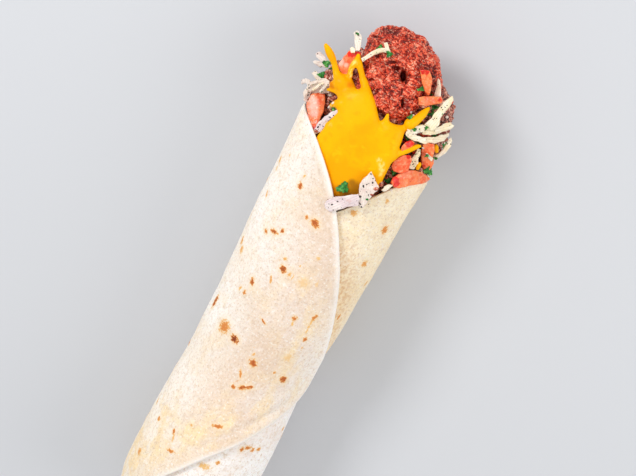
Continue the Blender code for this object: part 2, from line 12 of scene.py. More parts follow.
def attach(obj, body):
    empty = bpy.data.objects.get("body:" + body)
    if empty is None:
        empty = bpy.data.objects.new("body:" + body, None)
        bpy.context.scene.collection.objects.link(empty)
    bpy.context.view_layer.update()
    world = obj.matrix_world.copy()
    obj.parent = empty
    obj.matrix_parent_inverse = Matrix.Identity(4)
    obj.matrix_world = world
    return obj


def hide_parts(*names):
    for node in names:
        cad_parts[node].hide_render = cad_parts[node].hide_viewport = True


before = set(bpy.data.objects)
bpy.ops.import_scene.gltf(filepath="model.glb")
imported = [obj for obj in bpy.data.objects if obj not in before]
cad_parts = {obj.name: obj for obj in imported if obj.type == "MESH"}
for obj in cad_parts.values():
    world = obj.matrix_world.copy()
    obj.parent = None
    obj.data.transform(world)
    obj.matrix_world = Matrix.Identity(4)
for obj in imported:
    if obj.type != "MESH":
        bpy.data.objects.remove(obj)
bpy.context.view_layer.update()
mm = 0.001
noise.seed_set(3)  # the same noise in every run

# ---- small helpers


def smoothStep(value):
    value = min(max(value, 0.0), 1.0)
    return value * value * (3 - 2 * value)


def mix(start, end, share):
    return start + (end - start) * share


def screen(red, green, blue):
    # a colour as a screen shows it, 0 to 255, made linear
    parts = [part / 255 for part in (red, green, blue)]
    return tuple(p / 12.92 if p < 0.04 else ((p + 0.055) / 1.055) ** 2.4 for p in parts) + (1.0,)


def wobble(point, size, seed=0.0):
    # smooth noise from -1 to 1, with bumps of about this size
    return noise.noise(point / size + Vector((seed, seed * 0.7, -seed)))


def finishPiece(name, bm, look, nodes=()):
    mesh = bpy.data.meshes.new(name)
    bm.to_mesh(mesh)
    bm.free()
    piece = bpy.data.objects.new(name, mesh)
    bpy.context.scene.collection.objects.link(piece)
    mesh.materials.append(look)
    mesh.shade_smooth()
    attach(piece, "root")
    if nodes:
        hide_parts(*nodes)
    return piece


def applyModifiers(piece):
    graph = bpy.context.evaluated_depsgraph_get()
    mesh = bpy.data.meshes.new_from_object(piece.evaluated_get(graph))
    piece.modifiers.clear()
    piece.data = mesh
    mesh.shade_smooth()


def fuseBody(piece, voxel, rounds):
    # one closed skin round everything that overlaps, then smoothed
    fuse = piece.modifiers.new("fuse", "REMESH")
    fuse.mode = "VOXEL"
    fuse.voxel_size = voxel
    relax = piece.modifiers.new("relax", "SMOOTH")
    relax.iterations = rounds
    applyModifiers(piece)


def faceOutwards(bm):
    if bm.calc_volume(signed=True) < 0:
        bmesh.ops.reverse_faces(bm, faces=bm.faces)


def paint(mesh, name, values, kind="FLOAT"):
    attribute = mesh.attributes.new(name, kind, "POINT")
    field = "value" if kind == "FLOAT" else "vector"
    attribute.data.foreach_set(field, np.asarray(values, np.float32).ravel())


def treeOf(pieces):
    points, faces = [], []
    for piece in pieces:
        start = len(points)
        points += [vert.co.copy() for vert in piece.data.vertices]
        faces += [[start + index for index in face.vertices] for face in piece.data.polygons]
    return BVHTree.FromPolygons(points, faces)


# ---- shader helpers. They add to the look that was begun last

shading = {}


def newLook(name, roughness, specular=0.5, glow=(0.0, 1.0, (1.0, 0.2, 0.1)), coat=(0.0, 0.03)):
    # glow is how much light goes in, how deep in mm and how far each colour goes. A coat has a
    # weight and a roughness
    look = bpy.data.materials.new(name)
    look.use_nodes = True
    shading["tree"] = look.node_tree
    shading["inputs"] = look.node_tree.nodes["Principled BSDF"].inputs
    values = {
        "Roughness": roughness, "Specular IOR Level": specular, "Subsurface Weight": glow[0],
        "Subsurface Scale": glow[1] * mm, "Subsurface Radius": glow[2], "Coat Weight": coat[0],
        "Coat Roughness": coat[1]}
    for socket, value in values.items():
        shading["inputs"][socket].default_value = value
    return look


def put(kind, inputs, output=0, **settings):
    made = shading["tree"].nodes.new("ShaderNode" + kind)
    for key, value in settings.items():
        setattr(made, key, value)
    for key, value in inputs.items():
        if isinstance(value, bpy.types.NodeSocket):
            shading["tree"].links.new(value, made.inputs[key])
        else:
            made.inputs[key].default_value = value
    return made.outputs[output]


def readField(name, output="Fac"):
    return put("Attribute", {}, output, attribute_name=name)


def readThree(name):
    return put("SeparateXYZ", {0: readField(name, "Vector")}).node.outputs


def objectPlace():
    return put("TexCoord", {}, "Object")


def stretched(place, by):
    return put("VectorMath", {0: place, 1: by}, operation="MULTIPLY")


def cloud(place, size, detail=2.0, rough=0.5, twist=0.0):
    # noise with lumps of this size in millimetres
    return put("TexNoise", {"Vector": place, "Scale": 1 / (size * mm), "Detail": detail,
                            "Roughness": rough, "Distortion": twist})


def sums(first, second, operation="ADD", clamp=False):
    return put("Math", {0: first, 1: second}, operation=operation, use_clamp=clamp)


def times(first, second, clamp=False):
    return sums(first, second, "MULTIPLY", clamp)


def addUneven(value, lumps, by, clamp=False):
    # the value with noise round 0 added to it, this many times as strong
    inputs = {0: sums(lumps, 0.5, "SUBTRACT"), 1: by, 2: value}
    return put("Math", inputs, operation="MULTIPLY_ADD", use_clamp=clamp)


def remap(value, low, high):
    return put("MapRange", {0: value, 1: low, 2: high}, interpolation_type="SMOOTHSTEP")


def blend(share, first, second):
    return put("Mix", {0: share, 6: first, 7: second}, 2, data_type="RGBA")


def tinted(colour, share, strength, tone):
    return blend(times(share, strength), colour, tone)


def speckled(colour, *layers):
    # each layer is its cloud, where that starts and is full, how strong it tints and its colour
    for lumps, low, high, strength, tone in layers:
        colour = tinted(colour, remap(lumps, low, high), strength, tone)
    return colour


def ramp(value, stops):
    colour = put("ValToRGB", {0: value})
    elements = colour.node.color_ramp.elements
    while len(elements) < len(stops):
        elements.new(0.5)
    for element, (place, tone) in zip(elements, stops):
        element.position = place
        element.color = tone
    return colour


def finishLook(colour, *layers):
    # each layer of relief is a height, how strong it is and how deep in millimetres
    link, sockets = shading["tree"].links.new, shading["inputs"]
    link(colour, sockets["Base Color"])
    normal = None
    for height, strength, depth in layers:
        inputs = {"Height": height, "Strength": strength, "Distance": depth * mm}
        if normal:
            inputs["Normal"] = normal
        normal = put("Bump", inputs)
    if normal:
        link(normal, sockets["Normal"])


# ---- camera, from above and leaning towards the mouth

view = {
    "lean": 20,  # degrees from straight above towards the mouth
    "turn": 27.7,  # degrees that the roll stands off the picture's upright
    "target": (51.8, -0.3, 29.5),
    "distance": 1100 * mm,
    "pixel": 0.418 * mm,  # what one pixel of the picture covers at the target
    "width": 636,
    "height": 476,
    "sensor": 36.0,
    "spotReach": 1.5,  # radii at which a painted spot has faded out
}


def cameraAxes():
    lean, turn = math.radians(view["lean"]), math.radians(view["turn"])
    back = Vector((math.sin(lean), 0, math.cos(lean)))
    along = Vector((math.cos(lean), 0, -math.sin(lean)))
    side = Vector((0, 1, 0))
    right = along * math.sin(turn) - side * math.cos(turn)
    up = along * math.cos(turn) + side * math.sin(turn)
    return right, up, back


viewRight, viewUp, viewBack = cameraAxes()
viewTarget = Vector(view["target"]) * mm
viewPlace = viewTarget + viewBack * view["distance"]


def rayThrough(across, down):
    # from the camera through a pixel of the picture
    step = viewRight * (across - view["width"] / 2) + viewUp * (view["height"] / 2 - down)
    return (step * view["pixel"] - viewBack * view["distance"]).normalized()


def atPixel(across, down, height):
    # the point this many millimetres above the table that the picture shows at a pixel
    ray = rayThrough(across, down)
    return viewPlace + ray * ((height * mm - viewPlace.z) / ray.z)


def nearness(points, spots):
    # 1 inside any of these spots, falling to 0 round them. A spot is a pixel across and down, a
    # height and a radius in mm
    values = np.zeros(len(points))
    for across, down, height, radius in spots:
        far = np.linalg.norm(points - np.array(atPixel(across, down, height)), axis=1) / (radius * mm)
        near = np.clip(view["spotReach"] - far, 0, 1)
        values = np.maximum(values, near * near * (3 - 2 * near))
    return values


def placesOf(mesh):
    places = np.empty(len(mesh.vertices) * 3, np.float32)
    mesh.vertices.foreach_get("co", places)
    return places.reshape(-1, 3).astype(float)


def makeCamera():
    data = bpy.data.cameras.new("camera")
    data.sensor_width = view["sensor"]
    data.lens = view["sensor"] * view["distance"] / (view["width"] * view["pixel"])
    data.clip_start = 10 * mm
    camera = bpy.data.objects.new("camera", data)
    turned = Matrix((viewRight, viewUp, viewBack)).transposed().to_4x4()
    turned.translation = viewPlace
    camera.matrix_world = turned
    bpy.context.scene.collection.objects.link(camera)
    bpy.context.scene.camera = camera


makeCamera()
print("camera placed")

# ---- flatbread: one sheet rolled one and a half times round, pinched shut at the foot

bread = {
    "thickness": 1.7 * mm,
    "pitch": 2.1 * mm,  # how much further out each turn lies
    "radius": 25.5 * mm,
    "centreZ": 27.2 * mm,
    "foot": -98 * mm,
    "mouth": 102 * mm,
    "flare": 2.2 * mm,
    "flareStart": 58 * mm,
    "waistX": -12 * mm,  # the flap is drawn tight round the roll here
    "waistLength": 26 * mm,
    "waistDepth": 1.8 * mm,
    "fullX": 57 * mm,  # and the roll is fullest here
    "fullLength": 20 * mm,
    "fullHeight": 0.9 * mm,
    "sway": 0.8 * mm,
    "swayStart": -5 * mm,
    "swayLength": 25 * mm,
    "rollStart": math.radians(-380),
    "hiddenEndStart": math.radians(352),
    "hiddenEndSpan": math.radians(22),
    "flapReach": math.radians(200),  # the angle that the mouth half of the free edge makes for
    "flapBellyX": -30 * mm,
    "flapBellyRound": 8 * mm,
    "flapTipX": 103 * mm,
    "flapSlope": 0.5,  # powers that give the free edge its curve from the belly to the mouth
    "flapHook": 0.35,
    "flapBackX": -15.2 * mm,  # by here the free edge is coming back over the roll
    "flapBackAngle": math.radians(161.7),
    "flapBackSlope": math.radians(2.2) / mm,
    "flapBackEase": math.radians(0.0085) / mm**2,
    "flapRounding": math.radians(14),
    "rimDip": 27 * mm,
    "rimDipStart": math.radians(215),
    "rimDipSpan": math.radians(70),
    "backRimDrop": 5 * mm,
    "pinchStart": -72 * mm,
    "pinchHalfHeight": 0.2 * mm,
    "pinchHalfWidth": 20 * mm,
    "pinchDrop": 10 * mm,
    "rimShare": 0.38,
    "footShare": 0.3,
    "crowding": 0.7,
    "columns": 246,
    "rows": 178,
    "swell": 0.4 * mm,  # soft waves that both turns share
    "swellSize": 24 * mm,
    "ripple": 0.2 * mm,
    "rippleSize": 6 * mm,
    "crease": 0.6 * mm,  # folds that run along the flap's edge
    "creaseSize": 4 * mm,
    "pleat": 1.6 * mm,  # crumples at the pinched foot
    "pleatSize": 7 * mm,
    "edgeThin": 0.5,  # share of the thickness left at the sheet's edges
    "edgeWidth": 2.5 * mm,
    "edgeWave": math.radians(0.8),
    "edgeLift": 0.5 * mm,
    "blister": 0.3 * mm,
    "blisterReach": 1.3,  # half lengths of a spot that its bubble covers
    "blisterLowest": 3 * mm,
    "stillHeight": 8 * mm,  # the roll is stilled this far up from where it lies
    "crumpleRoom": 10 * mm,
    "crumpleLength": 26 * mm,
    "pleatLong": 30 * mm,
    "pleatTall": 60 * mm,
    "edgeWaveSize": 11 * mm,
    "edgeLiftWidth": 7 * mm,
    "creaseFrom": 12 * mm,
    "creaseEnd": 40 * mm,
    "creaseLong": 45 * mm,
}

# where the sheet is cream, floury or golden, where painted shade darkens it beside the flap, and where a
# painted highlight lies along the flap's free edge
breadTone = {
    "underFrom": math.radians(-130),
    "underSpan": math.radians(110),
    "creamX": -22 * mm,
    "creamLength": 26 * mm,
    # how far the painted shade reaches beside the flap
    "shadeBesideFlapWidth": 8 * mm,
    "middle": math.radians(100),
    "middleSpan": math.radians(44),
    # how wide the painted highlight along the flap's free edge is
    "litEdgeWidth": 3.2 * mm,
    "footX": -20 * mm,
    "footLength": 45 * mm,
    "goldenFrom": 15 * mm,
    "goldenWidth": 16 * mm,
    "goldenEnd": 72 * mm,
    "goldenLength": 50 * mm,
}

# toasted spots: pixel across and down, half length and half width in mm, turn in degrees from
# the roll's own direction, how dark
toastedSpots = (
    (301.6, 186, 1.5, 1.2, 20, 0.8), (306, 176, 1.0, 0.7, 0, 0.35), (282, 160.6, 1.9, 1.1, 20, 0.35),
    (278.6, 169, 1.6, 1.3, 0, 0.22), (291.7, 155.5, 0.7, 0.6, 0, 0.25), (268.7, 194.4, 1.9, 0.7, 25, 0.4),
    (307.5, 217, 0.75, 0.7, 0, 0.75), (315.7, 222.9, 2.0, 1.6, 60, 0.85), (267.5, 231.3, 1.1, 0.8, 60, 0.7),
    (275.8, 231.7, 1.9, 0.95, 100, 0.85), (283.6, 231, 0.95, 0.8, 0, 0.85), (244.2, 241, 1.9, 1.3, 20, 0.5),
    (243.5, 250, 1.8, 1.5, 20, 0.42), (286.2, 258.5, 0.9, 0.9, 0, 0.4), (284, 268.8, 1.7, 1.35, 30, 0.9),
    (290, 273.8, 1.2, 0.7, -20, 0.4), (272, 278.8, 2.1, 0.5, 20, 0.5), (253.7, 281.4, 1.8, 1.0, 20, 0.85),
    (245.9, 292.1, 1.1, 0.9, 0, 0.65), (241.9, 288, 1.3, 0.6, -20, 0.35), (300.8, 265.4, 0.5, 0.4, 0, 0.4),
    (318.8, 258, 1.1, 1.0, 0, 0.26), (303.5, 281.8, 2.6, 2.4, 0, 0.2), (317, 283, 1.8, 0.8, 0, 0.2),
    (217.3, 302, 3.3, 1.25, -5, 0.9), (225.8, 326.5, 3.1, 2.9, 0, 0.62), (235.6, 338.6, 2.0, 1.7, 80, 1.1),
    (264.2, 320.7, 1.8, 0.45, 62, 0.75), (294.6, 317.6, 1.15, 1.0, 0, 0.72), (292.5, 323, 1.2, 0.6, 10, 0.3),
    (314.2, 316.2, 1.8, 0.9, -10, 0.66), (310.5, 322, 1.7, 0.6, 0, 0.3), (304.4, 338.1, 1.1, 0.95, 0, 0.72),
    (306.4, 329.6, 1.9, 0.5, 5, 0.28), (301.2, 346.6, 0.5, 0.45, 0, 0.5), (253.5, 362.2, 2.0, 1.6, 30, 0.85),
    (254.4, 353.3, 0.8, 0.6, 0, 0.4), (241, 373, 2.2, 0.55, 22, 0.55), (274, 371.6, 0.75, 0.65, 0, 0.6),
    (282.5, 377.8, 2.0, 1.6, 50, 0.85), (233.8, 385.9, 1.1, 0.85, 90, 0.75),
    (242.3, 386.8, 1.9, 1.0, 108, 0.85), (250.4, 385.9, 1.2, 0.9, 90, 0.8),
    (287.9, 356.4, 2.4, 2.0, 0, 0.22), (218, 425.9, 2.5, 0.9, 108, 0.7), (175.1, 431.7, 1.3, 0.7, 20, 0.7),
    (174.6, 437.5, 1.9, 0.5, 10, 0.35), (192.3, 424.8, 0.6, 0.5, 0, 0.5),
    (171.7, 450.6, 1.9, 0.75, 105, 0.62), (141.2, 451.8, 1.8, 1.2, 20, 0.5), (160.8, 419, 1.1, 1.0, 0, 0.6),
    (159.3, 402, 1.7, 0.6, 20, 0.45), (241.1, 448.3, 1.1, 0.9, 0, 0.7), (247, 446.6, 1.5, 0.9, 100, 0.72),
    (251.6, 448.9, 0.9, 0.9, 0, 0.7), (257.2, 448.3, 0.9, 0.9, 0, 0.62), (281.3, 427.8, 1.1, 1.0, 0, 0.45),
    (279.8, 434.5, 1.6, 1.1, 20, 0.6), (217.6, 462, 1.0, 0.8, 0, 0.6), (204.4, 465.5, 2.6, 1.7, 90, 0.3),
    (353.7, 212, 1.5, 1.3, 0, 0.45), (386.2, 200, 1.2, 0.8, 20, 0.4), (383.3, 228.8, 2.3, 1.5, 15, 0.6),
    (363.2, 262.7, 1.6, 1.3, 20, 0.5), (364.2, 282.3, 1.7, 0.7, -5, 0.4), (337, 316, 1.7, 0.8, 0, 0.6),
)

spotRule = {
    "channels": 3,  # spots near one another are painted in different fields
    "reach": 3.2,
    "room": 1.5 * mm,
    "far": 9,  # half lengths from a spot that count as away from every spot
    "unseen": 70,  # more spots, where the picture doesn't show the sheet
    "seed": 41,
    "angles": (math.radians(-150), math.radians(12)),
    "radius": 28 * mm,
    "endRoom": 4 * mm,
    "sizes": (0.7, 2.0),
    "bigShare": 0.12,
    "bigger": 1.5,
    "narrowness": (0.4, 0.95),
    "dark": (0.3, 0.45, 0.6, 0.75, 0.85, 0.95),
}


def sleeveSection(x):
    # half width and half height of the innermost turn, and its centre's y and z
    flare = bread["flare"] * smoothStep((x - bread["flareStart"]) / (bread["mouth"] - bread["flareStart"]))
    full = bread["fullHeight"] * math.exp(-(((x - bread["fullX"]) / bread["fullLength"]) ** 2))
    full -= bread["waistDepth"] * math.exp(-(((x - bread["waistX"]) / bread["waistLength"]) ** 2))
    pinch = min(max((bread["pinchStart"] - x) / (bread["pinchStart"] - bread["foot"]), 0.0), 1.0)
    fullness = math.sqrt(1 - pinch**2)
    halfWidth = mix(bread["pinchHalfWidth"], bread["radius"] + full, fullness) + flare
    halfHeight = mix(bread["pinchHalfHeight"], bread["radius"] + full, fullness) + flare
    centreY = bread["sway"] * (1 - smoothStep((x - bread["swayStart"]) / bread["swayLength"]))
    return halfWidth, halfHeight, centreY, bread["centreZ"] + flare + full - bread["pinchDrop"] * pinch**2


def flapEdge(x):
    # the angle that the sheet's free edge reaches, from +Y over the top
    belly, soft = bread["flapBellyX"], bread["flapBellyRound"]
    furthest = math.hypot(bread["flapTipX"] - belly, soft) - soft
    away = min((math.hypot(max(x - belly, 0.0), soft) - soft) / furthest, 1.0)
    fall = (1 - away ** bread["flapSlope"]) ** bread["flapHook"]
    toMouth = bread["flapReach"] * fall
    step = x - bread["flapBackX"]
    toFoot = bread["flapBackAngle"] + bread["flapBackSlope"] * step + bread["flapBackEase"] * step**2
    wave = bread["edgeWave"] * noise.noise(Vector((x / bread["edgeWaveSize"], 3.1, 0))) * fall
    return (toMouth + toFoot - math.hypot(toMouth - toFoot, bread["flapRounding"])) / 2 + wave


def breadPoint(across, along):
    along -= bread["crowding"] * math.sin(math.tau * along) / math.tau
    x = mix(bread["foot"], bread["mouth"], along)
    edge = flapEdge(x)
    angle = mix(bread["rollStart"], edge, across)
    nearMouth = smoothStep((along - 1 + bread["rimShare"]) / bread["rimShare"])
    nearFoot = 1 - smoothStep(along / bread["footShare"])
    dip = bread["rimDip"] * smoothStep((-angle - bread["rimDipStart"]) / bread["rimDipSpan"])
    drop = bread["backRimDrop"] * smoothStep(-angle / math.pi)
    hiddenEnd = smoothStep((-angle - bread["hiddenEndStart"]) / bread["hiddenEndSpan"])
    x -= (dip + drop) * nearMouth
    x += (bread["pinchStart"] - bread["foot"]) * hiddenEnd * nearFoot
    halfWidth, halfHeight, centreY, centreZ = sleeveSection(x)
    turn = Vector((x, math.cos(angle) * halfWidth, math.sin(angle) * halfHeight))
    normal = Vector((0, math.cos(angle) * halfHeight, math.sin(angle) * halfWidth)).normalized()
    offset = bread["pitch"] * (angle - bread["rollStart"]) / math.tau
    # waves that every turn shares, stilled where the roll lies on the table
    still = smoothStep((turn.z + halfHeight) / bread["stillHeight"])
    offset += bread["swell"] * still * wobble(turn, bread["swellSize"], 2.0)
    offset += bread["ripple"] * still * wobble(turn, bread["rippleSize"], 5.0)
    crumple = smoothStep((bread["pinchStart"] + bread["crumpleRoom"] - x) / bread["crumpleLength"])
    offset += bread["pleat"] * normal.z * crumple * still * noise.noise(
        Vector((x / bread["pleatLong"], turn.y / bread["pleatSize"], turn.z / bread["pleatTall"])))
    toEdge = (edge - angle) * bread["radius"]
    # folds that follow the free edge on the lower half of the flap
    folded = smoothStep(1 - abs(toEdge - bread["creaseFrom"]) / bread["creaseFrom"])
    folded *= smoothStep((bread["creaseEnd"] - x) / bread["creaseEnd"])
    offset += bread["crease"] * folded * still * noise.noise(
        Vector((x / bread["creaseLong"], toEdge / bread["creaseSize"], 7.0)))
    offset += bread["edgeLift"] * smoothStep(1 - toEdge / bread["edgeLiftWidth"])
    point = Vector((x, turn.y + centreY, centreZ + turn.z)) + normal * offset
    point.z = max(point.z, bread["thickness"] / 2)
    arc = angle * (bread["radius"] + bread["pitch"] * (angle - bread["rollStart"]) / math.tau)
    # the lower turn is cream towards the mouth and floury towards the foot, with painted shade on it beside
    # the flap that lies on it. The flap is pinker along its middle
    tone = breadTone
    under = 1 - smoothStep((angle - tone["underFrom"]) / tone["underSpan"])
    cream = smoothStep((x - tone["creamX"]) / tone["creamLength"])
    covered = angle >= edge - math.tau + math.pi
    beside = 1.0 if covered else max(0.0, angle - edge + math.tau) * bread["radius"]
    # painted shade on the lower turn, just beside the flap's edge
    shadeBesideFlap = math.exp(-(beside / tone["shadeBesideFlapWidth"]) ** 2) * cream
    middle = math.exp(-((angle - tone["middle"]) / tone["middleSpan"]) ** 2)
    foot = smoothStep((tone["footX"] - x) / tone["footLength"])
    golden = smoothStep(1 - abs(toEdge - tone["goldenFrom"]) / tone["goldenWidth"])
    golden *= smoothStep((tone["goldenEnd"] - x) / tone["goldenLength"])
    # the last zone is a painted highlight along the flap's free edge
    zone = (under * mix(-1, 1, cream), shadeBesideFlap, smoothStep(1 - toEdge / tone["litEdgeWidth"]))
    return point, (arc, x), zone, (middle, foot, golden)


def plantSpots(mesh, flat):
    # where each spot lies on the flat sheet, in metres round and along it
    mesh.calc_loop_triangles()
    points = [vert.co.copy() for vert in mesh.vertices]
    corners = [tuple(tri.vertices) for tri in mesh.loop_triangles]
    sheet = BVHTree.FromPolygons(points, corners)
    planted = []
    for across, down, halfLength, halfWidth, turn, dark in toastedSpots:
        hit, _, index, _ = sheet.ray_cast(viewPlace, rayThrough(across, down))
        if hit is None:
            continue
        there = [points[i] for i in corners[index]]
        unrolled = [Vector((*flat[i], 0)) for i in corners[index]]
        place = geometry.barycentric_transform(hit, *there, *unrolled)
        planted.append((place.x, place.y, halfLength * mm, halfWidth * mm, math.radians(turn), dark))
    draw = random.Random(spotRule["seed"])
    for _ in range(spotRule["unseen"]):
        angle = draw.uniform(*spotRule["angles"])
        x = draw.uniform(bread["foot"] + spotRule["endRoom"], bread["mouth"] - spotRule["endRoom"])
        size = draw.uniform(*spotRule["sizes"])
        size *= (spotRule["bigger"] if draw.random() < spotRule["bigShare"] else 1.0) * mm
        planted.append((angle * spotRule["radius"], x, size, size * draw.uniform(*spotRule["narrowness"]),
                        draw.uniform(0, math.pi), draw.choice(spotRule["dark"])))
    return planted


def paintToast(mesh, flat, planted):
    # for every vertex: its offset from the nearest spot, in parts of the spot's size, and how dark
    flat = np.asarray(flat)
    channels = [[] for _ in range(spotRule["channels"])]
    for spot in planted:
        room = [all(math.hypot(spot[0] - other[0], spot[1] - other[1])
                    > spotRule["reach"] * (spot[2] + other[2]) + spotRule["room"] for other in channel)
                for channel in channels]
        channels[room.index(True) if True in room else -1].append(spot)
    for number, channel in enumerate(channels):
        best = np.full(len(flat), np.inf)
        field = np.zeros((len(flat), 3))
        field[:, 0] = spotRule["far"]
        for across, along, halfLength, halfWidth, turn, dark in channel:
            step = flat - (across, along)
            turned = np.stack([step[:, 1] * math.cos(turn) - step[:, 0] * math.sin(turn),
                               step[:, 0] * math.cos(turn) + step[:, 1] * math.sin(turn)], 1)
            turned /= (halfLength, halfWidth)
            far = np.hypot(step[:, 0], step[:, 1]) / halfLength
            near = far < best
            best = np.where(near, far, best)
            field[near, :2] = turned[near]
            field[near, 2] = np.where(far[near] < spotRule["reach"], dark, 0)
        paint(mesh, f"toast{number}", field, "FLOAT_VECTOR")


def breadLook():
    look = newLook("toastedFlatbread", 0.75, 0.3, (0.1, 1.2, (1.0, 0.75, 0.5)))
    flat = readField("flat", "Vector")
    # zones: under tells cream from floury, beside is the painted shade beside the flap, and edge is the
    # painted highlight along the flap's free edge
    under, beside, edge = readThree("zones")
    middle, foot, goldenEdge = readThree("areas")
    grain = stretched(flat, (1.0, 0.7, 1.0))
    # the top turn is floury and pinkish white, the one below it cream
    wide = remap(cloud(flat, 30, 3), 0.38, 0.6)
    side = blend(wide, screen(253, 248, 240), screen(250, 239, 224))
    ridge = blend(wide, screen(238, 220, 205), screen(232, 208, 186))
    lower = blend(wide, screen(254, 240, 211), screen(247, 226, 188))
    colour = blend(times(under, 1.0, True), blend(middle, side, ridge), lower)
    floury = times(under, -1.0, True)
    colour = blend(floury, colour, blend(wide, screen(255, 253, 250), screen(249, 238, 230)))
    # golden patches, most of all at the foot and along the flap
    golden = times(remap(cloud(flat, 17, 3, 0.6), 0.5, 0.66), sums(foot, 0.45))
    golden = sums(golden, times(foot, 0.45))
    patches = remap(cloud(stretched(flat, (1.0, 0.4, 1.0)), 7, 3, 0.6), 0.42, 0.62)
    golden = sums(golden, times(goldenEdge, patches))
    golden = times(times(golden, sums(1.0, floury, "SUBTRACT")), 0.7, True)
    colour = blend(golden, colour, screen(250, 224, 180))
    colour = speckled(
        colour,
        (cloud(grain, 2.4, 5, 0.75), 0.47, 0.68, 0.6, screen(220, 194, 168)),
        (cloud(flat, 3.6, 5, 0.75), 0.5, 0.7, 0.42, screen(253, 247, 241)),
        (cloud(grain, 0.85, 3, 0.75), 0.52, 0.66, 0.6, screen(204, 174, 146)),
        (cloud(flat, 1.2, 3, 0.75), 0.54, 0.66, 0.6, screen(255, 251, 246)))
    # painted shade beside the flap's edge, mottled with tan, then a plain band of it
    mottledFlapShade = times(beside, remap(cloud(grain, 1.7, 4, 0.7), 0.42, 0.6))
    colour = tinted(colour, mottledFlapShade, 0.8, screen(208, 152, 98))
    colour = tinted(colour, beside, 0.4, screen(234, 200, 150))
    # a painted highlight along the flap's free edge, where its cut edge catches the light
    colour = tinted(colour, edge, 0.8, screen(255, 250, 244))
    # toasted spots, ragged at their edges, each with a pale halo
    rough = cloud(flat, 1.0, 3, 0.75)
    depth, halo = 0.0, 0.0
    for number in range(spotRule["channels"]):
        along, across, dark = readThree(f"toast{number}")
        away = put("VectorMath", {0: put("CombineXYZ", {0: along, 1: across})}, "Value", operation="LENGTH")
        inside = addUneven(sums(1.2, away, "SUBTRACT"), rough, 3.2)
        depth = sums(depth, times(remap(inside, -0.1, 0.8), dark), "MAXIMUM")
        halo = sums(halo, times(remap(away, 2.5, 1.0), dark), "MAXIMUM")
    colour = tinted(colour, halo, 0.55, screen(246, 222, 188))
    toasted = ramp(depth, (
        (0.0, screen(244, 214, 166)), (0.3, screen(238, 190, 122)), (0.55, screen(224, 146, 76)),
        (0.78, screen(200, 108, 50)), (1.0, screen(138, 66, 34))))
    colour = blend(remap(depth, 0.02, 0.3), colour, toasted)
    finishLook(colour, (cloud(grain, 2.6, 4, 0.65), 0.6, 0.6), (cloud(flat, 0.8, 3, 0.7), 0.5, 0.3),
               (depth, 0.3, 0.4))
    return look


def borderDistances(bm):
    # how far each vertex lies from the sheet's edge
    border = [vert.co.copy() for vert in bm.verts if vert.is_boundary]
    tree = KDTree(len(border))
    for index, place in enumerate(border):
        tree.insert(place, index)
    tree.balance()
    return [tree.find(vert.co)[2] for vert in bm.verts]


def raiseBlisters(mesh, flat, planted):
    # a toasted spot is the top of a low bubble
    places = np.asarray(flat)
    lift = np.zeros(len(places))
    for across, along, halfLength, halfWidth, _, dark in planted:
        step = np.hypot(places[:, 0] - across, places[:, 1] - along)
        step /= bread["blisterReach"] * halfLength + 1 * mm
        lift = np.maximum(lift, np.clip(1 - step, 0, 1) ** 2 * dark)
    for vert in mesh.vertices:
        if lift[vert.index] > 0 and vert.co.z > bread["blisterLowest"]:
            vert.co += vert.normal * float(lift[vert.index]) * bread["blister"]


def makeBread():
    bm = bmesh.new()
    bmesh.ops.create_grid(bm, x_segments=bread["columns"], y_segments=bread["rows"], size=0.5)
    flat, zones, areas = [], [], []
    for vert in bm.verts:
        vert.co, place, zone, area = breadPoint(vert.co.x + 0.5, vert.co.y + 0.5)
        flat.append(place)
        zones.append(zone)
        areas.append(area)
    rim = borderDistances(bm)
    piece = finishPiece("rolledFlatbread", bm, breadLook(), ["flatbread"])
    mesh = piece.data
    planted = plantSpots(mesh, flat)
    raiseBlisters(mesh, flat, planted)
    paint(mesh, "flat", [(*place, 0) for place in flat], "FLOAT_VECTOR")
    paint(mesh, "zones", zones, "FLOAT_VECTOR")
    paint(mesh, "areas", areas, "FLOAT_VECTOR")
    paintToast(mesh, flat, planted)
    full = piece.vertex_groups.new(name="full")
    for index, distance in enumerate(rim):
        full.add([index], smoothStep(distance / bread["edgeWidth"]), "REPLACE")
    wall = piece.modifiers.new("wall", "SOLIDIFY")
    wall.thickness = bread["thickness"]
    wall.offset = 0
    wall.use_quality_normals = True
    wall.vertex_group = "full"
    wall.thickness_vertex_group = bread["edgeThin"]
    applyModifiers(piece)
    for vert in piece.data.vertices:
        vert.co.z = max(vert.co.z, 0)
    return piece


breadPiece = makeBread()
print("flatbread rolled")

# ---- the heap of filling at the mouth

heap = {
    "top": 53.5 * mm,
    "middleZ": 28 * mm,
    "crestX": 95 * mm,
    "reach": 57 * mm,
    "fall": 17.5 * mm,
    "halfWidth": 30 * mm,
    "widestX": 108 * mm,
    "taper": 47 * mm,
    "fallPower": 2.2,
    "taperPower": 3,
    "narrowest": 0.05,  # shares of the heap that are left at its end and sides
    "lowest": 0.03,
    "seekSteps": 30,
}


def heapHeight(x, y):
    crest = heap["top"] - heap["fall"] * max(0.0, (x - heap["crestX"]) / heap["reach"]) ** heap["fallPower"]
    taper = max(0.0, (x - heap["widestX"]) / heap["taper"]) ** heap["taperPower"]
    halfWidth = heap["halfWidth"] * math.sqrt(max(heap["narrowest"], 1 - taper))
    bulge = math.sqrt(max(heap["lowest"], 1 - (y / halfWidth) ** 2))
    return heap["middleZ"] + (crest - heap["middleZ"]) * bulge


def onHeap(across, down, lift):
    # the point this many millimetres above the heap that the picture shows at a pixel
    point = atPixel(across, down, heap["top"] / mm)
    for _ in range(heap["seekSteps"]):
        height = (point.z + heapHeight(point.x, point.y) + lift * mm) / 2
        point = atPixel(across, down, height / mm)
    return point


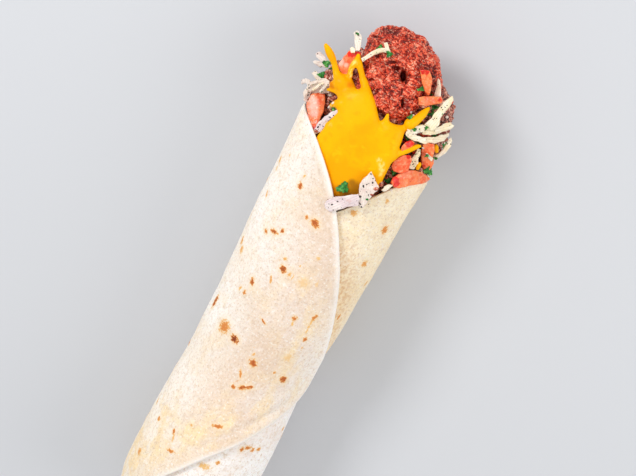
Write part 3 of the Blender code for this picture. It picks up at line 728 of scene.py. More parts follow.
def curveThrough(points, share):
    # a smooth curve through two or more points
    spans = len(points) - 1
    index = min(int(share * spans), spans - 1)
    local = share * spans - index
    here, there = points[index], points[index + 1]
    before = points[index - 1] if index else here * 2 - there
    after = points[index + 2] if index + 2 <= spans else there * 2 - here
    return 0.5 * (2 * here + (there - before) * local
                  + (2 * before - 5 * here + 4 * there - after) * local**2
                  + (3 * here - before - 3 * there + after) * local**3)


# ---- salad and minced meat that fill the roll

core = {
    "clearance": 1.35 * mm,
    "cover": 3 * mm,
    "dipStart": 62 * mm,
    "dipLength": 14 * mm,
    "swellLength": 10 * mm,
    "swell": 2 * mm,
    "squareness": 0.8,
    "start": -84 * mm,
    "end": 138 * mm,
    "undersideRise": 11 * mm,
    "undersideRoom": 0.8 * mm,
    "bluntness": 14,
    "lump": 0.09,
    "lumpSize": 0.25,
    "sides": 190,
    "rings": 230,
    "crowding": 0.55,  # more rings towards the mouth
    "crumb": 1.3 * mm,
    "crumbSize": 2.6 * mm,
    "pressed": 0.5,  # share of the crumbs' depth that is left inside the roll
    "bulge": 0.5 * mm,
    "bulgeSize": 7 * mm,
    "tip": 0.96,  # share of the length where the crumbs also face the mouth
    "tone": (0.2, 0.7),
}
grain = {
    "twist": 0.7,
    "twistSize": 1.7,  # grains
    # how wide a crevice between grains is; the crevices also get painted shade
    "shadedCrevice": 0.32,
    "scramble": (12.99, 78.23, 37.72),  # with it each grain gets a tone of its own
    "scrambleScale": 43758.5,
}


def grainAt(point, size, seed):
    # how far inside its grain a point of mince lies, 0 in a crevice and 1 on the grain, and the
    # grain's own tone
    twist = noise.noise_vector(point / (size * grain["twistSize"])) * grain["twist"]
    distances, centres = noise.voronoi(point / size + twist + Vector((seed, seed, 0)))
    mixed = sum(part * by for part, by in zip(centres[0], grain["scramble"]))
    tone = math.sin(mixed) * grain["scrambleScale"] % 1.0
    return smoothStep((distances[1] - distances[0]) / grain["shadedCrevice"]), tone


def minceLook(name, tones, roughness, coat):
    look = newLook(name, roughness, 0.2, (0.06, 1.0, (1.0, 0.35, 0.2)), (coat, 0.2))
    # the palest tone is a painted highlight for glints on the meat
    dark, deep, middle, light, paintedHighlight = tones
    place = objectPlace()
    fine = cloud(stretched(place, (1.0, 0.6, 0.8)), 1.0, 3, 0.65, 0.8)
    value = addUneven(readField("tone"), fine, 3.4)
    value = addUneven(value, cloud(place, 8, 2), 1.3, True)
    colour = ramp(value, ((0.0, dark), (0.25, deep), (0.5, middle), (0.78, light), (1.0, paintedHighlight)))
    # painted shade: the crevices between grains and the dents of the pits are painted dark
    depth = remap(readField("shadedCrevice"), 0.0, 0.7)
    colour = blend(depth, dark, colour)
    # pale streaks of painted highlight on the grains' backs
    streaks = cloud(stretched(place, (1.0, 0.45, 0.7)), 0.9, 2, 0.6, 1.0)
    colour = tinted(colour, times(remap(streaks, 0.56, 0.64), depth), 0.6, paintedHighlight)
    colour = speckled(
        colour,
        (cloud(stretched(place, (0.7, 1.0, 0.8)), 1.6, 2, 0.6, 1.2), 0.42, 0.34, 0.6, dark),
        (cloud(place, 5, 4, 0.7), 0.56, 0.7, 0.5, deep))
    finishLook(colour, (fine, 0.6, 0.4), (cloud(place, 0.45, 3, 0.7), 0.5, 0.2))
    return look


def makeCore():
    bm = bmesh.new()
    bmesh.ops.create_uvsphere(bm, u_segments=core["sides"], v_segments=core["rings"], radius=1)
    creviceShades, tones = [], []
    for vert in bm.verts:
        share = math.acos(max(-1.0, min(1.0, vert.co.z))) / math.pi
        around = math.atan2(vert.co.y, vert.co.x)
        cosine, sine = math.cos(around), math.sin(around)
        outward = Vector((0, cosine, sine))
        share = share ** core["crowding"]
        x = mix(core["start"], core["end"], share)
        halfWidth, halfHeight, centreY, centreZ = sleeveSection(x)
        outside = smoothStep((x - bread["mouth"]) / core["swellLength"])
        dipped = smoothStep((x - core["dipStart"]) / core["dipLength"])
        top = mix(centreZ + halfHeight - core["clearance"], heapHeight(x, 0) - core["cover"], dipped)
        bottom = centreZ - halfHeight + core["clearance"] + core["undersideRoom"]
        bottom += core["undersideRise"] * smoothStep((x - bread["mouth"]) / (core["end"] - bread["mouth"]))
        halfWidth += core["swell"] * outside - core["clearance"]
        fullness = math.sqrt(max(0.0, 1 - abs(2 * share - 1) ** core["bluntness"]))
        polar = math.pi * share
        unit = Vector((math.sin(polar) * cosine, math.sin(polar) * sine, math.cos(polar)))
        fullness *= 1 + core["lump"] * outside * noise.noise(unit / core["lumpSize"])
        square = mix(1, core["squareness"], outside)
        across = math.copysign(abs(outward.y) ** square, outward.y) * halfWidth * fullness
        above = math.copysign(abs(outward.z) ** square, outward.z) * (top - bottom) / 2 * fullness
        point = Vector((x, centreY + across, (top + bottom) / 2 + above))
        inside, tone = grainAt(point, core["crumbSize"], 3)
        crumb = core["crumb"] * (inside - 1) * mix(core["pressed"], 1, outside)
        point += outward * (crumb + core["bulge"] * outside * wobble(point, core["bulgeSize"]))
        if share > core["tip"]:
            point.x += crumb
        vert.co = point
        # the crevices between the crumbs get painted shade
        creviceShades.append(inside)
        tones.append(mix(*core["tone"], tone))
    faceOutwards(bm)
    look = minceLook("mincedFilling", (
        screen(58, 16, 10), screen(122, 44, 30), screen(184, 88, 66), screen(222, 140, 114),
        screen(244, 204, 180)), 0.42, 0.2)
    piece = finishPiece("packedFilling", bm, look, ["filling"])
    paint(piece.data, "shadedCrevice", creviceShades)
    paint(piece.data, "tone", tones)
    return piece


corePiece = makeCore()
print("filling packed")

# ---- two charred pieces of minced meat

meats = {  # node, centre and half sizes in mm, turn in degrees, place in the noise
    "frontMeat": ("meat_front", (124.2, 1.8, 38.0), (14.6, 16.5, 12.8), 20, 3.0),
    "backMeat": ("meat_back", (135.2, 1.5, 33.2), (18.7, 14.5, 15.2), 65, 11.0),
}
meatGrain = {
    "crag": 0.6 * mm,
    "cragSize": 5.5 * mm,
    "ridge": 0.6 * mm,
    "ridgeSize": 1.7 * mm,
    "fineRidge": 0.22 * mm,
    "fineRidgeSize": 0.95 * mm,
    "fineness": 7,
    "bend": 0.9,
    "bendSize": 2.2,  # ridges
    "groove": 0.26,
    "calming": 0.8,  # how much of the ridges goes where the crust is smooth
    "calmReach": 1.6,
    "pitReach": 1.45,
    "pitFacing": 0.1,
    # how strongly painted shade darkens the pits
    "pitShade": 1.5,
    "ridgeMiddle": 0.7,  # heights on a ridge that stay where the smooth form is
    "fineRidgeMiddle": 0.6,
    "grooveLight": 0.35,  # how lit the grooves are beside the backs
    "fineGrooveLight": 0.6,
    "tone": 0.48,
    "toneRough": 0.35,
    "toneMiddle": 0.4,
    "toneCalm": 0.12,
    # pits are dented in and darkened with painted shade
    "pits": (  # pixel across and down, half width and half height in pixels, depth in mm
        (403.5, 76, 3.2, 5.5, 5.0), (397, 68, 4, 1.8, 1.5), (380.5, 119, 3.6, 8, 4.0),
        (377.5, 111, 2.2, 3.5, 2.0), (402.5, 103, 1.4, 4.5, 1.6), (371.5, 79.5, 3.4, 1.2, 1.2),
        (388.5, 124, 1.5, 2.5, 1.5), (406, 82, 1.2, 2.5, 1.5), (376, 37, 3.5, 1.0, 0.8),
        (392, 62, 5, 1.6, 1.0), (402, 91, 1.0, 3.0, 1.0),
    ),
    "smooth": ((411, 95, 47, 5.0), (414, 108, 46, 3.5)),  # where the crust is smooth
}


def ridgesAt(point, size, seed):
    # worm-like ridges: 0 in the crevice between them, 1 on their backs
    bend = noise.noise_vector(point / (size * meatGrain["bendSize"])) * meatGrain["bend"]
    bent = point / size + bend + Vector((seed, -seed, seed * 0.5))
    return smoothStep(abs(noise.noise(bent)) / meatGrain["groove"])


# how far a point is dented into a pit, and how much painted shade it gets there
def pitAt(point):
    depth, dark = 0.0, 0.0
    step = point - viewPlace
    for across, down, wide, tall, deep in meatGrain["pits"]:
        ray = rayThrough(across, down)
        off = step - ray * step.dot(ray)
        far = math.hypot(off.dot(viewRight) / wide, off.dot(viewUp) / tall) / view["pixel"]
        inside = smoothStep(meatGrain["pitReach"] - far)
        depth = max(depth, inside * deep * mm)
        dark = max(dark, inside)
    return depth, dark


def makeMeat(name, row, look):
    node, centre, half, turn, seed = row
    rule = meatGrain
    bm = bmesh.new()
    bmesh.ops.create_icosphere(bm, subdivisions=rule["fineness"], radius=1)
    spin = Matrix.Rotation(math.radians(turn), 3, "Z")
    smoothSpots = [(atPixel(*spot[:3]), spot[3] * mm) for spot in rule["smooth"]]
    creviceShades, tones = [], []
    for vert in bm.verts:
        direction = vert.co.copy()
        place = Vector([d * h * mm for d, h in zip(direction, half)])
        outward = spin @ Vector([d / h for d, h in zip(direction, half)]).normalized()
        rough = noise.turbulence(place / rule["cragSize"] + Vector((seed, 0, 0)), 3, False)
        point = place + direction * rule["crag"] * (2 * rough - 1)
        coarse = ridgesAt(point, rule["ridgeSize"], seed)
        fine = ridgesAt(point, rule["fineRidgeSize"], seed + 5)
        point = spin @ point + Vector(centre) * mm
        calm = max([smoothStep(rule["calmReach"] - (point - spot).length / radius)
                    for spot, radius in smoothSpots])
        lively = 1 - rule["calming"] * calm
        rise = rule["ridge"] * (coarse - rule["ridgeMiddle"])
        rise += rule["fineRidge"] * (fine - rule["fineRidgeMiddle"])
        point += outward * lively * rise
        depth, dark = pitAt(point) if outward.dot(viewBack) > rule["pitFacing"] else (0.0, 0.0)
        vert.co = point - viewBack * depth
        lit = mix(1, mix(rule["grooveLight"], 1, coarse), lively)
        lit *= mix(1, mix(rule["fineGrooveLight"], 1, fine), lively)
        # painted shade for the grooves and pits, lightest on the ridges' backs
        creviceShades.append(lit * (1 - dark) ** rule["pitShade"])
        tone = rule["tone"] + rule["toneRough"] * (rough - rule["toneMiddle"])
        tones.append(tone - rule["toneCalm"] * calm)
    made = finishPiece(name, bm, look, [node])
    paint(made.data, "shadedCrevice", creviceShades)
    paint(made.data, "tone", tones)
    return made


meatLook = minceLook("charredMeat", (
    screen(98, 14, 6), screen(186, 44, 22), screen(236, 84, 52), screen(250, 124, 86),
    screen(255, 190, 160)), 0.36, 0.1)
meatPieces = [makeMeat(name, row, meatLook) for name, row in meats.items()]
print("meat grilled")

# ---- cheese sauce poured over the heap

sauce = {
    "thickness": 3.0,  # mm
    "lift": 0.5,  # mm above the heap
    "voxel": 0.5 * mm,
    "beadsEach": 14,
    "spacing": 3,  # pixels between the beads that fill the outline
    "widest": 6.0,  # mm
    "thinnest": 0.4,  # mm
    "pixelsToMm": 0.43,
    "smoothRounds": 7,
    "outline": (  # pixels
        (337, 71), (342, 70.5), (346, 73), (350.5, 76), (353.5, 82), (356.5, 89), (360.5, 89.5), (361, 83),
        (359.8, 75), (361, 68), (364.5, 70), (366, 76), (369, 83), (372, 92), (375, 101), (377, 110),
        (379, 119), (381.5, 126), (385, 121), (389, 119), (391, 122.5), (396, 124.5), (401, 125),
        (406, 124.5), (412, 121.5), (418, 118.5), (421, 122), (416, 127), (409, 130), (404.5, 133),
        (402.5, 139), (400, 145), (398, 151), (401, 154), (397, 159), (391, 163), (388, 169), (386, 173),
        (383, 179), (380, 187), (374, 193), (358, 194.5), (346, 195.5), (334, 197.5), (326, 195), (321, 182),
        (317, 165), (314, 150), (314, 141), (319, 134), (324.5, 127.5), (328, 122), (332, 117.5),
        (336.5, 113), (338, 108), (338, 102), (337.5, 96), (336, 91), (334.5, 86), (333.5, 79),
    ),
    "splashes": (  # pixel across, pixel down, height, radius
        ((342, 84, 47, 3.4), (337.5, 76, 46, 1.9), (335.6, 69, 45.3, 1.45), (334, 62.5, 45.5, 1.35),
         (331, 55.5, 46.5, 1.75), (328, 49.5, 47, 1.5), (325.6, 44.6, 47, 0.85)),
        ((363, 82, 47, 1.5), (362, 75, 46.3, 1.3), (360, 67.5, 45.6, 1.45), (358.3, 60.5, 45, 1.5),
         (358.3, 55.3, 44.6, 1.0)),
        ((357.5, 59, 45.5, 1.2), (353.5, 64.5, 46, 1.35), (350.5, 70, 46, 1.1), (350, 75.5, 46, 1.3)),
        ((384, 126, 51.5, 2.4), (386.2, 120, 52, 1.25), (387.8, 114.5, 52.2, 0.75)),
        ((410, 124, 50, 2.6), (417, 119.5, 49, 2.0), (423, 114, 47.6, 1.7), (428.5, 108.5, 46, 0.9)),
        ((390, 153, 51.5, 3), (399, 152.8, 51.5, 1.6), (408, 150.3, 50.8, 1.3), (416, 147, 49.6, 1.15),
         (420.5, 146, 49, 0.7)),
        ((342, 92, 47, 2.4), (334, 90.5, 46, 1.1), (327.5, 89.5, 45.2, 0.7)),
        ((338, 84, 46.6, 2.0), (333, 84, 45.6, 1.5), (331.6, 87, 45.4, 0.9)),
        ((341, 104, 50, 2.4), (334.5, 104, 49, 1.4), (331.5, 105.5, 48.5, 1.0)),
        ((332, 126, 51, 2.6), (327.5, 124, 50.2, 1.3)),
        ((417.5, 168.5, 46.5, 1.0), (419, 164.5, 47, 1.2)),
        ((436.5, 151.5, 39.5, 1.0), (435.5, 147, 40.5, 1.4)),
    ),
    "amber": ((316, 150, 49, 2.8), (320, 162, 51, 3.0), (324, 176, 53, 3.4), (330, 190, 54.5, 4.0),
              (333, 85, 46, 1.7), (350, 86, 48, 1.6)),
    # painted shade, brown, low on the sauce beside the parsley leaf
    "paintedShade": ((347, 191, 56.8, 3.2), (355, 189, 56.8, 3.0), (352, 183, 57, 1.6)),
    # painted highlights: pale streaks and glints on the sauce
    "paintedHighlight": ((354, 63, 46.5, 1.2), (351, 70, 47, 1.3), (350.5, 75, 47, 1.0), (379, 160, 56, 1.0),
             (381.5, 165, 56, 1.3), (382.5, 170, 56, 1.4), (381, 175, 56, 1.1), (332, 125, 52, 1.3),
             (331.5, 105, 50, 1.2)),
}


def insideOutline(across, down):
    # whether a pixel lies inside the pour's outline, and how many pixels it is from its edge
    outline = sauce["outline"]
    here = Vector((across, down))
    inside, nearest = False, math.inf
    for start, end in zip(outline, outline[1:] + outline[:1]):
        if (start[1] > down) != (end[1] > down):
            inside ^= across < mix(start[0], end[0], (down - start[1]) / (end[1] - start[1]))
        first, span = Vector(start), Vector(end) - Vector(start)
        share = min(max((here - first).dot(span) / span.length_squared, 0.0), 1.0)
        nearest = min(nearest, (first + span * share - here).length)
    return inside, nearest


def addBead(bm, place, radius):
    made = bmesh.ops.create_icosphere(bm, subdivisions=2, radius=1)["verts"]
    bmesh.ops.scale(bm, verts=made, vec=(radius * mm, radius * mm, min(radius, sauce["thickness"]) * mm))
    bmesh.ops.translate(bm, verts=made, vec=place)


def sauceLook():
    look = newLook("cheeseSauce", 0.42, 0.08, (0.12, 1.5, (1.0, 0.6, 0.1)), (0.03, 0.15))
    place = objectPlace()
    colour = blend(remap(cloud(place, 12, 3), 0.38, 0.62), screen(248, 169, 0), screen(253, 184, 0))
    colour = speckled(
        colour,
        (cloud(place, 6, 3), 0.58, 0.72, 0.45, screen(236, 156, 2)),
        (cloud(stretched(place, (1.3, 0.8, 1)), 5, 2), 0.6, 0.7, 0.35, screen(255, 206, 20)))
    colour = tinted(colour, readField("amber"), 0.9, screen(222, 124, 6))
    # painted shade, brown, low on the sauce
    colour = tinted(colour, readField("paintedShade"), 0.85, screen(164, 104, 16))
    # painted highlight in pale streaks on the sauce
    streaky = remap(cloud(stretched(place, (0.6, 1.4, 1)), 1.6, 3, 0.7), 0.4, 0.6)
    colour = tinted(colour, times(readField("paintedHighlight"), streaky), 0.85, screen(252, 230, 130))
    finishLook(colour, (cloud(place, 6, 2), 0.25, 0.6))
    return look


def makeSauce():
    bm = bmesh.new()
    across = [point[0] for point in sauce["outline"]]
    down = [point[1] for point in sauce["outline"]]
    for x in range(int(min(across)), int(max(across)) + 1, sauce["spacing"]):
        for y in range(int(min(down)), int(max(down)) + 1, sauce["spacing"]):
            inside, edge = insideOutline(x, y)
            radius = min(edge * sauce["pixelsToMm"], sauce["widest"])
            if inside and radius > sauce["thinnest"]:
                addBead(bm, onHeap(x, y, sauce["lift"]), radius)
    for splash in sauce["splashes"]:
        points = [atPixel(*place[:3]) for place in splash]
        radii = [Vector((place[3], 0, 0)) for place in splash]
        count = sauce["beadsEach"] * (len(points) - 1)
        for step in range(count + 1):
            addBead(bm, curveThrough(points, step / count), curveThrough(radii, step / count).x)
    piece = finishPiece("pouredSauce", bm, sauceLook(), ["cheese_sauce"])
    fuseBody(piece, sauce["voxel"], sauce["smoothRounds"])
    places = placesOf(piece.data)
    for name in ("amber", "paintedShade", "paintedHighlight"):
        paint(piece.data, name, nearness(places, sauce[name]))
    return piece


saucePiece = makeSauce()
print("sauce poured")

# ---- tomato and onion, cut into wedges and strips. Each slice has an outline of points, and a
# point is a pixel across, a pixel down and a height in mm

tomatoes = {  # piece: node, outline, thickness, how orange, spots of skin and of painted highlight on the cut flesh
    "leftTomatoWedge": (
        "tomato_left_wedge", (
            (311.5, 93.5, 39.8), (318, 93, 39.5), (325, 94.8, 39.3), (325.5, 103, 41), (323, 113, 43.5),
            (319.5, 121, 45), (315.5, 130.5, 46.5), (313, 131, 46.5), (310.5, 121, 45.2), (307.5, 113, 43.8),
            (306.5, 104, 42)),
        6.0, 0.5, ((315, 129, 49, 1.2),),
        ((313, 101, 43.5, 1.9), (313.5, 107, 44.5, 2.1), (314, 113, 46, 1.8))),
    "topTomato": (
        "tomato_top", (
            (348.5, 51.5, 42), (354, 51, 42), (361, 53, 42), (360, 58, 42.3), (355, 65, 42.6),
            (350.5, 73.5, 43), (345.5, 77, 43.2), (340.5, 71, 43), (338, 65, 42.8), (343, 58, 42.3)),
        4.5, 0.7, ((354, 53, 44, 1.7), (350.5, 54.5, 44, 1.2), (359, 54.5, 44, 1.2)),
        ((340.5, 62, 44.6, 1.5), (346, 65, 45, 0.9))),
    "upperRightTomato": (
        "tomato_right_upper", (
            (420, 70.5, 45), (424, 69.5, 45), (429, 71, 44.8), (431.5, 77, 45), (431.8, 84, 45),
            (430.5, 91, 44.5), (427.8, 96.5, 43.8), (425, 92, 44.3), (423, 85, 45), (420.5, 78, 45.3)),
        3.6, 0.7, ((423, 71.5, 46.8, 1.2), (426, 72, 46.8, 1.2)), ()),
    "tomatoStick": (
        "tomato_stick", (
            (418, 97.5, 46.8), (424, 96.5, 46), (433, 97, 44.6), (441.5, 96.3, 43.2), (442.3, 100, 43),
            (440.5, 104, 43), (433, 104.5, 44.5), (425, 106, 45.8), (418.5, 105, 46.8)),
        3.4, 0.75, ((439.8, 99.5, 44.6, 1.2),), ()),
    "smallTomato": (
        "tomato_small", (
            (406, 141.5, 50.2), (411, 140.8, 49.6), (414.5, 143, 49.2), (412, 147, 49.6), (407, 150, 50.2),
            (402, 152.5, 50.8), (400.8, 149, 50.8), (403, 145, 50.6)),
        3.4, 0.4, ((409, 143.5, 51.5, 1.6), (411.5, 144, 51.2, 1.0)), ()),
    "uprightTomato": (
        "tomato_upright", (
            (422.5, 144, 44.6), (428, 143, 44.5), (434, 144.5, 44.2), (434, 151, 43.5), (433, 158, 42.8),
            (433.5, 164, 42), (430, 170, 41.2), (424, 171, 41), (421, 165, 41.8), (421, 157, 43),
            (421.5, 150, 44)),
        5.0, 0.5, ((424, 166, 44, 0.7),), ()),
    "pinkTomato": (
        "tomato_pink", (
            (398, 157.5, 49.5), (403, 155, 49.4), (410, 155, 49.2), (411.5, 160, 49), (409, 166, 49),
            (407.5, 172, 49), (400, 173.5, 49), (393, 171, 49.2), (391.5, 166.5, 49.3), (394, 161.5, 49.4)),
        5.0, 0.1, ((408, 156.5, 51.7, 1.0),), ()),
    "frontTomatoWedge": (
        "tomato_front_wedge", (
            (392.5, 178, 49.6), (398, 174, 48.6), (406, 171, 47), (414, 170.3, 44.8), (421, 172.5, 41.5),
            (427, 176, 38.5), (430, 179, 36.5), (425, 182.5, 39), (417, 184.5, 43), (407, 186.5, 46.5),
            (398, 188.5, 48.6), (393.5, 187.5, 49.6), (391, 183, 50)),
        5.5, 0.5, ((396, 180, 52, 1.5), (397, 184, 52, 1.5), (410, 187, 47, 0.7), (417, 185.5, 44, 0.7)), ()),
}

onions = {  # piece: node or none, outline, thickness, 0 for cream and 1 for lavender, loose pepper
    "topOnion": ("onion_top", (
        (353, 33, 44), (355.5, 30.5, 44), (358.5, 31.5, 44), (361.5, 36, 44.2), (361, 44, 44.5),
        (359.5, 51.5, 45), (354.5, 50.5, 45), (355, 44, 44.5), (354.5, 38, 44.2)), 1.5, 0.5, 5),
    "acrossOnion": ("onion_across", (
        (361, 58.5, 46), (368, 53.5, 45.3), (375, 49.5, 45.5), (383, 48.2, 46), (388.5, 47.5, 46.2),
        (388.5, 52.5, 46.2), (381, 52.5, 45.8), (374, 54.5, 45.5), (367.5, 58.5, 45.3),
        (363, 62.5, 46)), 1.7, 0.1, 5),
    "leftOnionA": ("onion_left_a", (
        (315.5, 53.5, 43), (320, 51.8, 43), (323.5, 55.5, 43), (327, 60.5, 43.5), (328.5, 65, 43.5),
        (323, 64, 43.3), (320, 60, 43), (316.5, 57, 43)), 1.6, 0.8, 4),
    "leftOnionB": ("onion_left_b", (
        (312.8, 61.5, 40.5), (315.5, 60.2, 40.5), (320, 61, 40.5), (324, 63.5, 41), (328.5, 68, 41),
        (323, 67.5, 41), (318, 66.3, 40.5), (314.5, 64.5, 40.5)), 1.6, 0.7, 4),
    "leftOnionC": ("onion_left_c", (
        (311.8, 73, 42), (315, 70.3, 42), (319, 74, 42.5), (324, 79, 43), (328.5, 84.5, 43.5),
        (324.5, 86, 43.5), (318, 80.5, 42.5), (315, 78, 42)), 1.7, 0.5, 5),
    "leftOnionCurl": ("onion_left_curl", (
        (301, 83.5, 40), (302.5, 79.5, 40.8), (306, 78.5, 41.5), (310, 80, 42), (312, 84.5, 42),
        (311.5, 90, 41.8), (310, 97, 41.3), (306.5, 103, 41), (303.5, 100.5, 41), (304.5, 94, 41.3),
        (307, 88, 41.5), (307, 84, 41.8), (304.5, 83, 41), (302.8, 84.5, 40.3)), 1.8, 0.7, 6),
    "leftOnionClump": ("onion_left_clump", (
        (306, 88, 41.8), (310, 82, 42.5), (317, 80, 43.5), (325, 78, 44.3), (330, 81, 44.8), (330, 86, 44.8),
        (322, 87, 44), (314, 89, 43), (309, 93, 42)), 2.2, 0.6, 9),
    "leftOnionBed": ("onion_left_bed", (
        (304, 97, 39), (307, 91, 39.8), (314, 87.5, 40.5), (323, 86.5, 41.7), (330, 87.5, 42.3),
        (329.5, 93, 42.2), (322, 93.5, 41.5), (314, 95.5, 40.3), (308, 101, 39.2)), 2.4, 0.6, 8),
    "onionWedge": ("onion_wedge", (
        (452.5, 96, 41), (453, 100, 41), (449, 107, 42), (445, 112, 43), (441, 118, 44), (438.5, 125, 45),
        (434, 131, 46.3), (424, 130, 47), (424, 124.5, 47), (431, 118, 45.5), (437, 110.5, 44.3),
        (443, 103, 43), (448, 98.5, 41.8)), 2.0, 0.05, 15),
    "onionTip": ("onion_tip", (
        (454.5, 125.5, 39), (452.5, 128, 39.5), (446, 131, 41.5), (438, 133.5, 43.8), (430, 135.5, 45.8),
        (422, 134.5, 47.2), (423, 130.5, 47.2), (431, 130, 45.8), (438, 127.5, 44), (444.5, 123.5, 42),
        (450, 122.5, 40.5)), 1.8, 0.0, 8),
    "onionBanana": ("onion_banana", (
        (407.5, 130.5, 51), (412, 133, 50), (418, 136, 48.8), (426, 137.5, 46.8), (436, 137, 43.5),
        (443, 134.5, 40.5), (448.5, 132.8, 38), (449.5, 136, 37.5), (444, 140.5, 40), (435, 143, 43.5),
        (425, 143.5, 47), (415, 141.5, 49.3), (408, 138, 50.8), (405, 134.5, 51.3)), 1.9, 0.15, 12),
    "onionHook": ("onion_hook", (
        (451, 137, 37.5), (452.5, 141, 37.5), (450.5, 147, 38), (445.5, 153, 38.3), (439, 157, 38.8),
        (433.5, 160, 39.5), (432.5, 156.5, 39.5), (438, 153.5, 38.8), (443.5, 148.5, 38.3), (447, 142.5, 38)),
        1.7, 0.1, 7),
    "rightOnionSliver": ("onion_right_sliver", (
        (437.5, 78, 40.5), (440, 80, 40.5), (440.8, 88, 41), (440.8, 97, 41), (434.5, 97.5, 41.2),
        (436, 88, 41)), 1.5, 0.3, 3),
    "frontOnion": ("onion_front", (
        (324.5, 204, 59.8), (327, 200, 59.8), (334, 197.5, 60), (346, 195.5, 60), (357.5, 193.8, 59.7),
        (359.5, 199, 59.5), (358, 206, 59.5), (347, 207.5, 59.8), (336, 210.5, 60), (330, 211.5, 59.9),
        (326, 208.5, 59.8)), 1.6, 1.0, 14),
    "diamondOnion": ("onion_diamond", (
        (371, 171.8, 58.5), (374.5, 178, 58.6), (378.8, 188, 58.6), (374, 194, 58.7), (367, 202.5, 58.5),
        (362, 208, 58.3), (358.5, 206, 58.3), (359, 198, 58.6), (359.2, 190, 58.8), (359.5, 184, 58.8),
        (364, 178, 58.7)), 1.6, 0.7, 30),
    "sideOnion": ("onion_side", (
        (337.5, 109.5, 51.5), (338, 113.5, 51.5), (331, 119, 51.3), (325.5, 125, 50.8), (320, 132.5, 50),
        (314.5, 134.5, 49.8), (314, 129.5, 50), (319, 122, 50.6), (325, 116.5, 51),
        (331.5, 112, 51.4)), 1.6, 1.0, 12),
    "onionScrap": ("onion_scrap", (
        (417, 148.5, 47.5), (421, 149.5, 47.4), (420.5, 154, 47.4), (418.5, 158.5, 47.4), (418, 164, 47.2),
        (413.5, 169.5, 47.2), (408.5, 168, 47.5), (408, 163, 47.7), (411.5, 158.5, 47.6), (415, 154, 47.6)),
        1.6, 0.0, 12),
    "creamSliver": (None, (
        (384, 43.5, 46.5), (387, 42.5, 46.5), (388.8, 46, 46.9), (390.5, 51, 47.4), (391, 56, 47.5),
        (389, 58, 47.3), (387, 55, 47.1), (385.8, 49, 46.8)), 1.4, 0.2, 3),
    "creamNub": (None, (
        (350, 48, 44.5), (352.5, 46.5, 44.5), (355.5, 49, 44.8), (355.5, 52.5, 45),
        (351, 52.5, 44.6)), 1.8, -0.3, 1),
    "whiteShred": (None, (
        (425.3, 153, 46.5), (428.5, 153.5, 46.5), (433.8, 159, 45.6), (432, 161.8, 45.4), (428.5, 158.5, 46),
        (425.5, 156, 46.4)), 1.2, 0.3, 1),
    "whiteDot": (None, (
        (411, 115.5, 47.6), (413.5, 114.5, 47.6), (415, 117, 47.4), (412.5, 118.5, 47.5)), 1.4, 0.6, 0),
    "pinkShred": (None, (
        (328, 62, 43), (332, 60.5, 43.5), (334, 63, 44), (332.5, 66, 43.5), (329, 65.5, 43)), 1.4, 1.2, 2),
    "lowerShred": (None, (
        (381, 190, 56), (384.5, 186, 54.6), (389, 184, 53.4), (392.5, 185.5, 52.2), (389, 189.5, 53.6),
        (384, 192, 55.2)), 1.4, 0.2, 3),
    "clumpShredA": (None, (
        (307.5, 86, 44.2), (311, 82.5, 44.8), (316.5, 80.5, 45.4), (317, 82.5, 45.4), (312.5, 84.5, 44.9),
        (309, 88, 44.2)), 1.2, 0.6, 4),
    "clumpShredB": (None, (
        (312, 89.5, 44.3), (317, 85.5, 45), (323, 82, 45.8), (324, 84, 45.8), (318.5, 88, 45),
        (313.5, 91.5, 44.2)), 1.2, 0.1, 5),
    "clumpShredC": (None, (
        (319, 91.5, 44.3), (322.5, 87, 45), (327.5, 83.5, 45.8), (328.5, 85.5, 45.8), (324.5, 89, 45),
        (321, 93, 44.2)), 1.1, 0.5, 4),
    "clumpShredD": (None, (
        (302.8, 92, 43.4), (305, 88.5, 43.6), (307.8, 90, 43.8), (306.6, 95, 43.5),
        (304, 98.5, 43)), 1.0, 0.6, 3),
    "rootShred": (None, (
        (407, 129.5, 51), (413, 126.5, 50), (421, 125, 48.5), (426, 126, 47.5), (424, 131.5, 48),
        (416, 134, 49.6), (409, 133.5, 50.8)), 1.5, 0.3, 7),
}

slices = {
    "voxel": 0.27 * mm,
    # rounds of smoothing, depth of the pores, and the slices' places in the noise
    "tomato": {"rounds": 3, "pore": 0.05 * mm, "start": 0, "step": 3.7},
    "onion": {"rounds": 2, "pore": 0.14 * mm, "start": 60, "step": 5.3},
    "uneven": 0.4 * mm,
    "unevenSize": 2.6 * mm,
    "poreSize": 0.8 * mm,
}


def cutSlice(outline, thick):
    bm = bmesh.new()
    half = viewBack * (thick * mm / 2)
    face = bm.faces.new([bm.verts.new(atPixel(*point) + half) for point in outline])
    grown = bmesh.ops.extrude_face_region(bm, geom=[face])["geom"]
    moved = [item for item in grown if isinstance(item, bmesh.types.BMVert)]
    bmesh.ops.translate(bm, verts=moved, vec=half * -2)
    bmesh.ops.triangulate(bm, faces=bm.faces)
    bmesh.ops.recalc_face_normals(bm, faces=bm.faces)
    return bm


def roughen(mesh, seed, depth):
    for vert in mesh.vertices:
        shift = noise.noise_vector(vert.co / slices["unevenSize"] + Vector((seed, 0, 0))) * slices["uneven"]
        pore = depth * wobble(vert.co, slices["poreSize"], seed)
        vert.co += shift + vert.normal * pore


def lengthways(outline):
    # the slice's start, and the direction across its longest line
    points = [atPixel(*point) for point in outline]
    pairs = ((a, b) for a in points for b in points)
    start, end = max(pairs, key=lambda pair: (pair[0] - pair[1]).length)
    return start, viewBack.cross(end - start).normalized()


